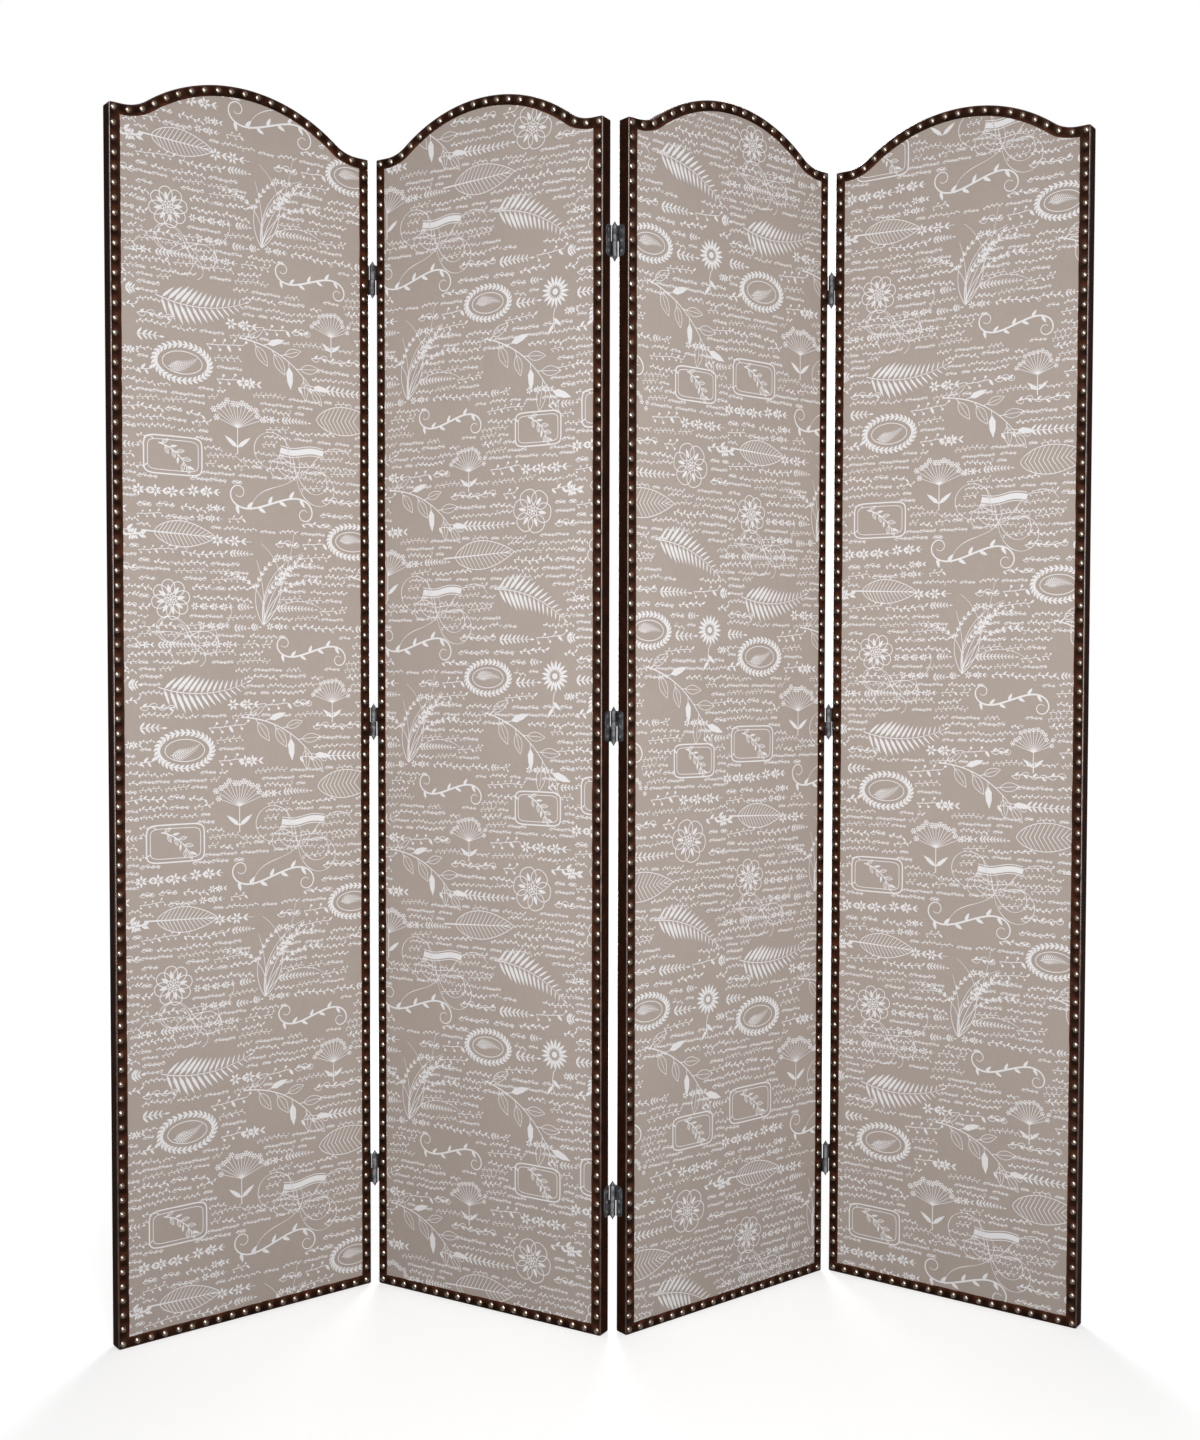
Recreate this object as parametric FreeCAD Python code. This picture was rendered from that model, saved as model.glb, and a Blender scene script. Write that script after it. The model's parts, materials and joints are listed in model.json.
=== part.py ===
import FreeCAD, Part
import math
import os

# A four-panel folding screen that stands on the floor in a zigzag. Sizes are in millimetres and angles in
# degrees. Each panel is built in its own frame: X to the right along its width, Y from its front to its
# back, Z up from the floor, with the origin under the middle of the panel. The panels are then hinged
# together in plan and set round the origin of the whole screen, whose front faces -Y.

# Panel outline, over the leather
panel_width = 412.0
shoulder_height = 1767.0  # floor to the flat shoulders at the corners
crown_rise = 62.0  # shoulders to the top of the crown
shoulder_flat = 20.0  # level run at each corner
cove_radius = 60.0  # hollow curve that rises from the shoulder

# Layers, from the middle of the panel out to each face
frame_depth = 15.0
board_thickness = 2.4
cloth_thickness = 0.5
leather_thickness = 0.9

# Wooden frame
stile_width = 42.0
bottom_rail_width = 42.0
top_rail_width = 42.0  # at the shoulders
cross_rail_width = 36.0
cross_rail_count = 2

# Leather edge binding
binding_lap = 16.0  # cover over each face
binding_fit = 0.3  # play between the edge of the core and the leather
mitre_gap = 0.2  # upright gap between two strips at a corner

# Decorative nails
nail_inset = 7.5  # outer edge to the row of nails
nail_pitch = 20.8
nail_radius = 4.7
nail_height = 2.4
nail_sides = 4  # the round head is drawn with few faces

# Butt hinges, each with two knuckles
hinge_height = 45.0
hinge_end_distance = 185.0  # floor or shoulder to the middle of the outer hinges
centre_hinge_lift = 10.0  # half the shoulder height to the middle of the hinge between them
middle_line_lift = 11.0  # outer hinges of the middle line above those of the other lines
leaf_thickness = 1.8
leaf_reach = 15.0  # face of the panel to the far edge of the leaf
knuckle_radius = 4.5
knuckle_sides = 8  # the round barrel is drawn with few faces, its bore and pin are round
knuckle_play = 0.3  # knuckle to the edge of the other panel
knuckle_gap = 0.4  # between the two knuckles
notch_play = 0.5  # knuckle to the leaf that is notched round it
pin_radius = 2.0
pin_play = 0.05
pin_overhang = 1.5  # beyond the knuckles at each end
fold_play = 0.6  # nail tops to the middle of two folded panels

# Zigzag at rest: how far each joint is folded from a straight wall
fold_angle_left = 69.1
fold_angle_middle = 69.6
fold_angle_right = 74.2

# Sizes that follow
board_start = frame_depth / 2
cloth_start = board_start + board_thickness
leather_start = cloth_start + cloth_thickness
panel_depth = 2 * (leather_start + leather_thickness)
core_inset = leather_thickness + binding_fit
curve_run = panel_width / 2 - shoulder_flat
curve_angle = 2 * math.atan2(crown_rise, curve_run)
rail_underside = shoulder_height - core_inset - top_rail_width
edge_gap = 2 * (knuckle_radius + knuckle_play)
axis_standoff = nail_height + fold_play

# Hinge lines from left to right, each with the face of the panels that its pins stand at. The first one joins
# the first panel to the second.
joints = [
    ("left", "front", fold_angle_left),
    ("middle", "back", fold_angle_middle),
    ("right", "front", fold_angle_right),
]
panel_numbers = range(1, len(joints) + 2)


def sign(word):
    """Which way a side or a face of the panel lies on its axis."""
    return {"left": -1, "right": 1, "front": -1, "back": 1}[word]


def point(x, z, y=0.0):
    """A point of the panel, given across, up and, where it isn't the middle plane, in depth."""
    return FreeCAD.Vector(x, y, z)


def block(x_ends, y_ends, z_ends):
    """A box between two ends on each axis, in either order."""
    low = FreeCAD.Vector(min(x_ends), min(y_ends), min(z_ends))
    high = FreeCAD.Vector(max(x_ends), max(y_ends), max(z_ends))
    size = high - low
    return Part.makeBox(size.x, size.y, size.z, low)


def line(start, end):
    return Part.LineSegment(start, end).toShape()


def arc(start, middle, end):
    return Part.Arc(start, middle, end).toShape()


def top_edges(inset):
    """The serpentine top from left to right, drawn in by inset: shoulder, cove, crown, cove, shoulder."""
    corner = panel_width / 2 - inset
    shoulder = shoulder_height - inset
    cove_centre = shoulder_height + cove_radius
    cove = cove_radius + inset
    crown_top = shoulder_height + crown_rise - inset

    def on_cove(side, angle):
        return point(sign(side) * (curve_run - cove * math.sin(angle)), cove_centre - cove * math.cos(angle))

    ends = {side: on_cove(side, curve_angle) for side in ("left", "right")}
    half_way = {side: on_cove(side, curve_angle / 2) for side in ("left", "right")}
    return [
        line(point(-corner, shoulder), point(-curve_run, shoulder)),
        arc(point(-curve_run, shoulder), half_way["left"], ends["left"]),
        arc(ends["left"], point(0, crown_top), ends["right"]),
        arc(ends["right"], half_way["right"], point(curve_run, shoulder)),
        line(point(curve_run, shoulder), point(corner, shoulder)),
    ]


def side_edges(inset):
    """The straight sides of the outline, drawn in by inset: right, bottom and left."""
    corner = panel_width / 2 - inset
    shoulder = shoulder_height - inset
    return [
        line(point(corner, shoulder), point(corner, inset)),
        line(point(corner, inset), point(-corner, inset)),
        line(point(-corner, inset), point(-corner, shoulder)),
    ]


def slab(inset, front, back):
    """The panel's outline drawn in by inset, as a solid between two depths."""
    outline = Part.Wire(top_edges(inset) + side_edges(inset))
    outline.translate(FreeCAD.Vector(0, front, 0))
    return Part.Face(outline).extrude(FreeCAD.Vector(0, back - front, 0))


def frame_pieces():
    """Two stiles, a bottom rail and cross rails of one depth, a shaped top rail that is deeper by the two
    boards, and the boards, which cover the rest of the frame and end under the top rail."""
    depth = (-frame_depth / 2, frame_depth / 2)
    outer = panel_width / 2 - core_inset
    inner = outer - stile_width
    upright = (core_inset, rail_underside)
    rail_top = core_inset + bottom_rail_width
    top_zone = (rail_underside, 2 * shoulder_height)
    above = block((-panel_width, panel_width), (-panel_depth, panel_depth), top_zone)
    bay = (rail_underside - rail_top - cross_rail_count * cross_rail_width) / (cross_rail_count + 1)
    cross_rails = []
    for number in range(cross_rail_count):
        base = rail_top + bay + number * (bay + cross_rail_width)
        cross_rails.append(block((-inner, inner), depth, (base, base + cross_rail_width)))
    return {
        "left_stile": [block((-outer, -inner), depth, upright)],
        "right_stile": [block((inner, outer), depth, upright)],
        "top_rail": [slab(core_inset, -cloth_start, cloth_start).common(above)],
        "bottom_rail": [block((-inner, inner), depth, (core_inset, rail_top))],
        "cross_rails": cross_rails,
        "front_board": [block((-outer, outer), (-cloth_start, -board_start), upright)],
        "back_board": [block((-outer, outer), (board_start, cloth_start), upright)],
    }


def cloth_pieces():
    """The cloth stretched over each face, with its edges under the leather."""
    return {
        "front_cloth": [slab(core_inset, -leather_start, -cloth_start)],
        "back_cloth": [slab(core_inset, cloth_start, leather_start)],
    }


def mitre_wedge(side, gap):
    """A prism round one upright strip of the binding, cut at the mitres and drawn in there by gap."""
    edge = sign(side) * panel_width / 2
    lap = edge - sign(side) * binding_lap
    outer_ends = [(edge, shoulder_height - gap), (edge, gap)]
    inner_ends = [(lap, binding_lap + gap), (lap, shoulder_height - binding_lap - gap)]
    front = [point(x, z, -panel_depth) for x, z in outer_ends + inner_ends]
    return Part.Face(Part.makePolygon(front + front[:1])).extrude(FreeCAD.Vector(0, 2 * panel_depth, 0))


def edge_binding():
    """A leather strip folded over each of the four edges, mitred at the corners."""
    outer = slab(0, -panel_depth / 2, panel_depth / 2)
    hollow = slab(leather_thickness, -leather_start, leather_start)
    ring = outer.cut([hollow, slab(binding_lap, -panel_depth, panel_depth)])
    uprights = [ring.common(mitre_wedge(side, mitre_gap)) for side in ("left", "right")]
    top_and_bottom = ring.cut([mitre_wedge(side, 0) for side in ("left", "right")])
    return uprights + top_and_bottom.Solids


def nail_head():
    """One nail head on the front face, at the origin of the panel."""
    face = -panel_depth / 2
    turns = [2 * math.pi * side / nail_sides for side in range(nail_sides)]
    rim = [point(nail_radius * math.sin(turn), nail_radius * math.cos(turn), face) for turn in turns]
    tip = point(0, 0, face - nail_height)
    faces = [Part.Face(Part.makePolygon(rim + rim[:1]))]
    for start, end in zip(rim, rim[1:] + rim[:1]):
        faces.append(Part.Face(Part.makePolygon([start, end, tip, start])))
    head = Part.makeSolid(Part.makeShell(faces))
    return head if head.Volume > 0 else head.reversed()


def nails():
    """Nail heads in one row round the front face, evenly spaced along each edge."""
    right, bottom, left = side_edges(nail_inset)
    head = nail_head()
    heads = []
    for edges in (top_edges(nail_inset), [right], [bottom], [left]):
        row = Part.Wire(edges)
        spaces = round(row.Length / nail_pitch)
        for place in row.discretize(Number=spaces + 1)[:-1]:
            heads.append(head.translated(place))
    return heads


def hinge_axis(side, face):
    """Where a hinge axis stands in a panel's own plan: beside one edge and outside one face."""
    across = sign(side) * (panel_width + edge_gap) / 2
    return FreeCAD.Vector(across, sign(face) * (panel_depth / 2 + axis_standoff), 0)


def cylinder(radius, low, high):
    return Part.makeCylinder(radius, high - low, point(0, low))


def barrel(low, high):
    """The outside of a knuckle between two levels, with a flat side along the leaf."""
    step = 2 * math.pi / knuckle_sides
    rim = []
    for side in range(knuckle_sides):
        turn = step * (side + 0.5)
        rim.append(point(knuckle_radius * math.cos(turn), low, knuckle_radius * math.sin(turn)))
    return Part.Face(Part.makePolygon(rim + rim[:1])).extrude(point(0, high - low))


def hinge_leaf(side, face):
    """A leaf about its axis at the origin, for a panel on that side of a hinge outside that face. The left
    panel carries the lower knuckle and the right panel the upper one."""
    half = hinge_height / 2
    inward = -sign(face)
    knuckle = sorted((sign(side) * knuckle_gap / 2, sign(side) * half))
    plate_x = (sign(side) * edge_gap / 2, sign(side) * (edge_gap / 2 - leaf_thickness))
    notch = inward * (knuckle_radius + notch_play)
    plate = block(plate_x, (notch, inward * (axis_standoff + leaf_reach)), (-half, half))
    tongue = block(plate_x, (0, notch), knuckle)
    leaf = plate.fuse([tongue, barrel(*knuckle)])
    return leaf.cut(cylinder(pin_radius + pin_play, -half, half)).removeSplitter()


def hinge_pin():
    """A pin about its axis at the origin, through both knuckles and a little beyond."""
    end = hinge_height / 2 + pin_overhang
    return cylinder(pin_radius, -end, end)


def hinge_levels(joint):
    """Heights of the three hinges of a hinge line above the floor."""
    lift = middle_line_lift if joint == "middle" else 0.0
    centre = shoulder_height / 2 + centre_hinge_lift
    return [hinge_end_distance + lift, centre, shoulder_height - hinge_end_distance + lift]


def at_levels(shape, where, joint):
    """A copy of a hinge piece at each level of its hinge line."""
    return [shape.translated(where + point(0, level)) for level in hinge_levels(joint)]


def panel_places():
    """The placement of each panel, hinged to the last one, with the two outer ends in line along X."""
    heading = 0.0
    places = {panel_numbers[0]: FreeCAD.Placement()}
    for number, (_, face, fold_angle) in zip(panel_numbers, joints):
        heading += sign(face) * fold_angle
        turn = FreeCAD.Rotation(FreeCAD.Vector(0, 0, 1), heading)
        pivot = places[number].multVec(hinge_axis("right", face))
        places[number + 1] = FreeCAD.Placement(pivot - turn.multVec(hinge_axis("left", face)), turn)
    first = places[panel_numbers[0]].multVec(point(-panel_width / 2, 0))
    last = places[panel_numbers[-1]].multVec(point(panel_width / 2, 0))
    skew = math.degrees(math.atan2(last.y - first.y, last.x - first.x))
    level = FreeCAD.Placement(FreeCAD.Vector(), FreeCAD.Rotation(FreeCAD.Vector(0, 0, 1), -skew))
    return {number: level * place for number, place in places.items()}


def build_nodes():
    """Every node as its panel's number and a list of solids in that panel's own frame."""
    panel_pieces = {**frame_pieces(), **cloth_pieces(), "edge_binding": edge_binding(), "nails": nails()}
    nodes = {}
    for number in panel_numbers:
        for name, solids in panel_pieces.items():
            nodes[f"panel_{number}_{name}"] = (number, solids)
    for number, (joint, face, _) in zip(panel_numbers, joints):
        left_axis = hinge_axis("right", face)
        right_axis = hinge_axis("left", face)
        left_leaves = at_levels(hinge_leaf("left", face), left_axis, joint)
        right_leaves = at_levels(hinge_leaf("right", face), right_axis, joint)
        nodes[f"{joint}_hinge_leaves_panel_{number}"] = (number, left_leaves)
        nodes[f"{joint}_hinge_leaves_panel_{number + 1}"] = (number + 1, right_leaves)
        nodes[f"{joint}_hinge_pins"] = (number, at_levels(hinge_pin(), left_axis, joint))
    return nodes


def main():
    places = panel_places()
    placed = {}
    for name, (number, solids) in build_nodes().items():
        shape = Part.makeCompound(solids)
        shape.Placement = places[number]
        placed[name] = shape
    box = Part.makeCompound(list(placed.values())).optimalBoundingBox()
    shift = FreeCAD.Vector(-box.Center.x, -box.Center.y, 0)
    os.makedirs("parts", exist_ok=True)
    for name, shape in placed.items():
        shape.translate(shift)
        shape.exportStep(f"parts/{name}.step")
    print("overall size", round(box.XLength, 2), round(box.YLength, 2), round(box.ZLength, 2))
    for number, (joint, face, fold_angle) in zip(panel_numbers, joints):
        pivot = places[number].multVec(hinge_axis("right", face)) + shift
        print("hinge axis", joint, round(pivot.x, 4), round(pivot.y, 4), "folded", fold_angle)
    for number in panel_numbers:
        middle = places[number].Base + shift
        heading = math.degrees(places[number].Rotation.Angle * places[number].Rotation.Axis.z)
        print("panel", number, round(middle.x, 4), round(middle.y, 4), "heading", round(heading, 4))


main()
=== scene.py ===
import json
import math
import random

import bmesh
import bpy
import numpy as np
from bpy.props import FloatProperty, FloatVectorProperty, IntProperty, PointerProperty
from mathutils import Matrix, Vector, kdtree, noise

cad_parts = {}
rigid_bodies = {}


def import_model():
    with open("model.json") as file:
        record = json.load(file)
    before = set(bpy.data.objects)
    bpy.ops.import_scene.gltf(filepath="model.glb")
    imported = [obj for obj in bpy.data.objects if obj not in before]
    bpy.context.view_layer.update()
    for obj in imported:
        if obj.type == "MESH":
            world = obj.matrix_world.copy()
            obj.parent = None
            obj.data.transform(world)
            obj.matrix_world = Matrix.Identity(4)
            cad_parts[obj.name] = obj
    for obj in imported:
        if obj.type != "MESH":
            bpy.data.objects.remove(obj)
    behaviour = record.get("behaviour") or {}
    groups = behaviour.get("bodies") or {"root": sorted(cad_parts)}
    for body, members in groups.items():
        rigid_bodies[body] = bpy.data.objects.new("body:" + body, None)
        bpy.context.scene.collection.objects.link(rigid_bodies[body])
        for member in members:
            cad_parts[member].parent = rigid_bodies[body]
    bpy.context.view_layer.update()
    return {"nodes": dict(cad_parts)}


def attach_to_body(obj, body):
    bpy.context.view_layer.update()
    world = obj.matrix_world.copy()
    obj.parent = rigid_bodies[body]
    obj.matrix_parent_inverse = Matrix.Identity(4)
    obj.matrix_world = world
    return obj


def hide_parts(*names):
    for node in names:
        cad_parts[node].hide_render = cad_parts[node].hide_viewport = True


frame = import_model()

bl_info = {
    "name": "Folding Screen",
    "version": (1, 0, 0),
    "blender": (4, 5, 0),
    "location": "View3D > Sidebar > Screen",
    "description": "Dresses a hinged four-panel screen with printed cloth, leather, nails and hinges",
    "category": "Object",
}

# Each panel is dressed in its own frame: X to the right along its width, Y from its front to its back, Z up
# from the floor, with the origin under its middle.
panel_numbers = range(1, 5)
faces = ("front", "back")
# Each hinge line: its name, the face that its pins stand at, and the panels on its left and right
hinge_lines = (("left", "front", 1, 2), ("middle", "back", 2, 3), ("right", "front", 3, 4))
# Less than any size of the screen, to tell whether two places are the same
tiny = 1e-6


def sign(word):
    """Which way a side or a face of the panel lies on its axis."""
    return {"left": -1, "right": 1, "front": -1, "back": 1}[word]


def panel_place(number):
    """A panel's own frame, from its bottom rail: the middle of the rail and the heading of its length."""
    rail = frame["nodes"][f"panel_{number}_bottom_rail"].data
    corners = np.unique(np.round([tuple(vertex.co) for vertex in rail.vertices], 6), axis=0)
    middle = corners.mean(axis=0)
    to_right = corners[:, 0] > middle[0]
    across = corners[to_right].mean(axis=0) - corners[~to_right].mean(axis=0)
    heading = math.atan2(across[1], across[0])
    return Matrix.Translation((middle[0], middle[1], 0)) @ Matrix.Rotation(heading, 4, "Z")


def own_box(node, number):
    """Lowest and highest corner of a node in its panel's own frame."""
    back = panel_place(number).inverted()
    points = np.array([tuple(back @ vertex.co) for vertex in frame["nodes"][node].data.vertices])
    return Vector(points.min(axis=0)), Vector(points.max(axis=0))


outer_low, outer_high = own_box("panel_1_edge_binding", 1)
cloth_low, cloth_high = own_box("panel_1_front_cloth", 1)


def amount(name, description, default, **kind):
    """A number that is never below zero."""
    return FloatProperty(name=name, description=description, default=default, min=0.0, **kind)


def length(name, description, default):
    """A size in metres."""
    return amount(name, description, default, precision=5, subtype="DISTANCE", unit="LENGTH")


def extent(name, description, default):
    """A width and a height in metres."""
    return FloatVectorProperty(name=name, description=description, default=default, size=2, min=0.0)


def position(name, description, default):
    """A place on the stage, in metres."""
    return FloatVectorProperty(name=name, description=description, default=default, subtype="TRANSLATION")


def colour(name, description, default):
    """A colour, given as a linear red, green and blue."""
    return FloatVectorProperty(
        name=name, description=description, default=default, size=3, min=0.0, max=1.0, subtype="COLOR"
    )


def angle(name, description, degrees):
    """An angle, given in degrees."""
    return FloatProperty(name=name, description=description, default=math.radians(degrees), subtype="ANGLE")


class ScreenSizes(bpy.types.PropertyGroup):
    """Sizes of the screen, in metres. What the frame can give comes from it."""

    panel_width: length("Panel width", "Over the leather", outer_high.x - outer_low.x)
    panel_height: length("Panel height", "Floor to the top of the crown", outer_high.z)
    panel_depth: length("Panel depth", "Over the leather", outer_high.y - outer_low.y)
    crown_rise: length("Crown rise", "Shoulders to the top of the crown", 0.062)
    shoulder_flat: length("Shoulder flat", "Level run at each top corner", 0.020)
    cove_radius: length("Cove radius", "Hollow curve that rises from the shoulder", 0.060)
    cloth_thickness: length("Cloth thickness", "One layer", cloth_high.y - cloth_low.y)
    cloth_inset: length("Cloth inset", "Edge of the panel to the edge of the cloth", cloth_low.z)
    cloth_face: length("Cloth face", "Middle of the panel to the face of the cloth", -cloth_low.y)
    ink_height: length("Ink height", "Print above the cloth", 0.00007)
    ink_layer: length("Ink layer", "One layer of the print above another", 0.000004)
    binding_lap: length("Binding lap", "Leather over each face", 0.016)
    leather_thickness: length("Leather thickness", "One layer", 0.0009)
    arris_radius: length("Arris radius", "Rounding of the leather along the edges", 0.0022)
    corner_radius: length("Corner radius", "Rounding of the leather at the four corners", 0.0035)
    nail_dent: length("Nail dent", "How far a nail draws the leather in", 0.0006)
    lip_waver: length("Lip waver", "How far the cut edge of the leather strays", 0.0006)
    nail_inset: length("Nail inset", "Edge of the panel to the row of nails", 0.0075)
    nail_pitch: length("Nail pitch", "From nail to nail", 0.0208)
    nail_radius: length("Nail radius", "Round head", 0.0047)
    nail_height: length("Nail height", "Dome above its rim", 0.0024)
    nail_sink: length("Nail sink", "Rim below the face of the leather", 0.0003)
    hinge_height: length("Hinge height", "Leaf from end to end", 0.045)
    hinge_end_distance: length("Hinge end distance", "Floor or shoulder to an outer hinge", 0.185)
    centre_hinge_lift: length("Centre hinge lift", "Centre hinge above half the shoulder height", 0.010)
    middle_line_lift: length("Middle line lift", "Outer hinges of the middle line above the others", 0.011)
    edge_gap: length("Edge gap", "Between two panels in a straight line", 0.0096)
    axis_standoff: length("Axis standoff", "Face of the panel to the hinge axis", 0.0030)
    leaf_thickness: length("Leaf thickness", "Plate of a hinge", 0.0018)
    leaf_reach: length("Leaf reach", "Face of the panel to the far edge of a leaf", 0.0150)
    leaf_rounding: length("Leaf rounding", "Far corners of a leaf", 0.0055)
    knuckle_radius: length("Knuckle radius", "Barrel of a hinge", 0.0045)
    knuckle_gap: length("Knuckle gap", "Between the two knuckles", 0.0004)
    notch_play: length("Notch play", "Knuckle to the leaf notched round it", 0.0005)
    pin_radius: length("Pin radius", "Hinge pin", 0.0020)
    pin_play: length("Pin play", "Pin to its bore", 0.00005)
    pin_rise: length("Pin rise", "Pin beyond each end of the knuckles", 0.0003)
    tip_radius: length("Tip radius", "Base of the pointed tip of a pin", 0.0032)
    tip_height: length("Tip height", "Pointed tip of a pin", 0.0060)
    screw_radius: length("Screw radius", "Head of a hinge screw", 0.0026)
    screw_height: length("Screw height", "Head above the leaf", 0.0006)

    @property
    def shoulder_height(self):
        """Floor to the level shoulders."""
        return self.panel_height - self.crown_rise

    @property
    def curve_run(self):
        """Middle of the panel to the inner end of a level shoulder."""
        return self.panel_width / 2 - self.shoulder_flat

    @property
    def curve_angle(self):
        """Slope of the top where a cove meets the crown."""
        return 2 * math.atan2(self.crown_rise, self.curve_run)

    @property
    def crown_radius(self):
        """Broad curve of the crown."""
        return self.curve_run / math.sin(self.curve_angle) - self.cove_radius

    @property
    def leather_step(self):
        """Longest edge along the leather, short enough for the dents at the nails."""
        return self.nail_pitch / 5


class ScreenColours(bpy.types.PropertyGroup):
    """Colours of the finishes."""

    cloth: colour("Cloth", "Linen ground", (0.475, 0.405, 0.362))
    # The darker linen colour is for darker threads, and also painted shade in the hollows between raised
    # threads
    cloth_shade: colour("Cloth shade", "Darker threads of the linen", (0.385, 0.325, 0.288))
    ink: colour("Ink", "Print on the linen", (0.86, 0.84, 0.85))
    leather: colour("Leather", "Binding", (0.0125, 0.0062, 0.0043))
    # The rubbed colour is real wear at the lip and edges, and also a painted highlight above each nail and
    # along the folded edges
    leather_wear_and_highlight: colour("Rubbed leather", "Binding where it is worn brown", (0.105, 0.030, 0.012))
    bronze: colour("Bronze", "Nail heads", (0.160, 0.138, 0.118))
    bronze_dark: colour("Dark bronze", "Nail heads where they have gone dark", (0.085, 0.062, 0.044))
    steel: colour("Steel", "Hinges", (0.280, 0.284, 0.300))
    steel_dark: colour("Dark steel", "Hinges where they have gone dull", (0.100, 0.100, 0.105))
    screw: colour("Screw", "Hinge screws", (0.60, 0.60, 0.59))
    wood: colour("Wood", "Frame inside the panels", (0.50, 0.34, 0.19))
    wood_dark: colour("Dark wood", "Late growth in the frame", (0.30, 0.18, 0.09))
    board: colour("Board", "Facing boards", (0.20, 0.115, 0.065))
    board_dark: colour("Dark board", "Fibres in the facing boards", (0.12, 0.065, 0.035))


class PrintLayout(bpy.types.PropertyGroup):
    """The print that is repeated over the cloth."""

    repeat_width: length("Repeat width", "One repeat across", 0.50)
    repeat_height: length("Repeat height", "One repeat upwards", 0.56)
    row_pitch: length("Row pitch", "From one fine row to the next", 0.0112)
    pen_width: length("Pen width", "Middling stroke", 0.0012)
    seed: IntProperty(name="Seed", description="Start of the random draws", default=11)


class StudioSettings(bpy.types.PropertyGroup):
    """Camera, floor and lamps."""

    camera_place: position("Camera", "Where the camera stands", (-0.1097, -2.4488, 0.9700))
    camera_heading: angle("Heading", "Turn to the left", -3.460)
    camera_tilt: angle("Tilt", "Turn upwards", -1.941)
    camera_roll: angle("Roll", "Turn about the view", 0.153)
    lens: amount("Lens", "Focal length in millimetres", 40.277)
    sensor: amount("Sensor", "Width behind the lens in millimetres", 36.0)
    shift_x: FloatProperty(name="Shift X", description="Sideways shift of the frame", default=-0.01992)
    shift_y: FloatProperty(name="Shift Y", description="Upward shift of the frame", default=0.00576)
    floor_size: length("Floor size", "Side of the square floor", 40.0)
    floor_paint: amount("Floor paint", "Lightness of the floor to the eye", 0.80)
    floor_bounce: amount("Floor bounce", "Lightness of the floor to the screen", 0.25)
    near_lift: amount("Near lift", "Glow of the floor by the screen", 0.53)
    far_lift: amount("Far lift", "Glow of the floor far from the screen", 0.90)
    near_reach: length("Near reach", "Middle of the floor to where its glow starts to rise", 0.6)
    far_reach: length("Far reach", "Middle of the floor to where its glow has risen", 2.6)
    fill: amount("Fill", "Even light from all round", 0.18)
    lamp_aim: position("Lamp aim", "What the lamps look at", (0.0, 0.0, 1.15))
    lamp_turn: angle("Lamp turn", "Lean of the lamps about their view", 28.0)
    key_place: position("Key place", "Lamp in front, with another behind", (0.05, -2.65, 1.15))
    key_size: extent("Key size", "Lamp in front", (0.9, 1.2))
    key_spread: angle("Key spread", "Lamp in front", 128.0)
    key_power: amount("Key power", "Lamp in front", 36.0, unit="POWER")
    glint_place: position("Glint place", "Panel seen in the nails, with another behind", (-0.3, -2.9, 1.5))
    glint_size: extent("Glint size", "Panel seen in the nails", (1.3, 4.4))
    glint_power: amount("Glint power", "Panel seen in the nails", 360.0, unit="POWER")


# Outline of a panel


def top_height(sizes, across, inset=0.0):
    """Height of the serpentine top at some places across the panel, for the outline drawn in by inset."""
    across = np.abs(across)
    cove = sizes.cove_radius + inset
    crown = sizes.crown_radius - inset
    cove_end = sizes.curve_run - cove * math.sin(sizes.curve_angle)
    cove_centre = sizes.shoulder_height + sizes.cove_radius
    crown_centre = sizes.panel_height - sizes.crown_radius
    on_cove = cove_centre - np.sqrt(np.maximum(cove**2 - (sizes.curve_run - across) ** 2, 0))
    on_crown = crown_centre + np.sqrt(np.maximum(crown**2 - across**2, 0))
    curved = np.where(across > cove_end, on_cove, on_crown)
    return np.where(across > sizes.curve_run, sizes.shoulder_height - inset, curved)


def spaced_along(line, pitch):
    """Points at even steps of about pitch along a line of points, without the last one."""
    steps = np.linalg.norm(np.diff(line, axis=0), axis=1)
    reach = np.concatenate([[0.0], np.cumsum(steps)])
    spaces = round(reach[-1] / pitch)
    wanted = np.linspace(0, reach[-1], spaces + 1)[:-1]
    return np.stack([np.interp(wanted, reach, line[:, axis]) for axis in (0, 1)], axis=1)


def nail_spots(sizes):
    """Where the nails of one face stand, across and up: along the top, down, along the bottom, up again."""
    samples = 4001
    inset = sizes.nail_inset
    corner = sizes.panel_width / 2 - inset
    shoulder = sizes.shoulder_height - inset
    across = np.linspace(-corner, corner, samples)
    top = np.stack([across, top_height(sizes, across, inset)], axis=1)
    corners = [(corner, shoulder), (corner, inset), (-corner, inset), (-corner, shoulder)]
    rows = [top] + [np.array(ends) for ends in zip(corners, corners[1:])]
    return np.concatenate([spaced_along(row, sizes.nail_pitch) for row in rows])


# Modelling by operators


def begin():
    """Goes to object mode with nothing selected, so that an operator acts on its own piece only."""
    if bpy.context.object and bpy.context.object.mode != "OBJECT":
        bpy.ops.object.mode_set(mode="OBJECT")
    bpy.ops.object.select_all(action="DESELECT")


def only(piece):
    """Makes a piece the one that is selected and active, in object mode."""
    begin()
    piece.select_set(True)
    bpy.context.view_layer.objects.active = piece
    return piece


def edit(piece):
    """Opens a piece in edit mode with all of it selected."""
    only(piece)
    bpy.ops.object.mode_set(mode="EDIT")
    bpy.ops.mesh.select_all(action="SELECT")
    return piece


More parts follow.
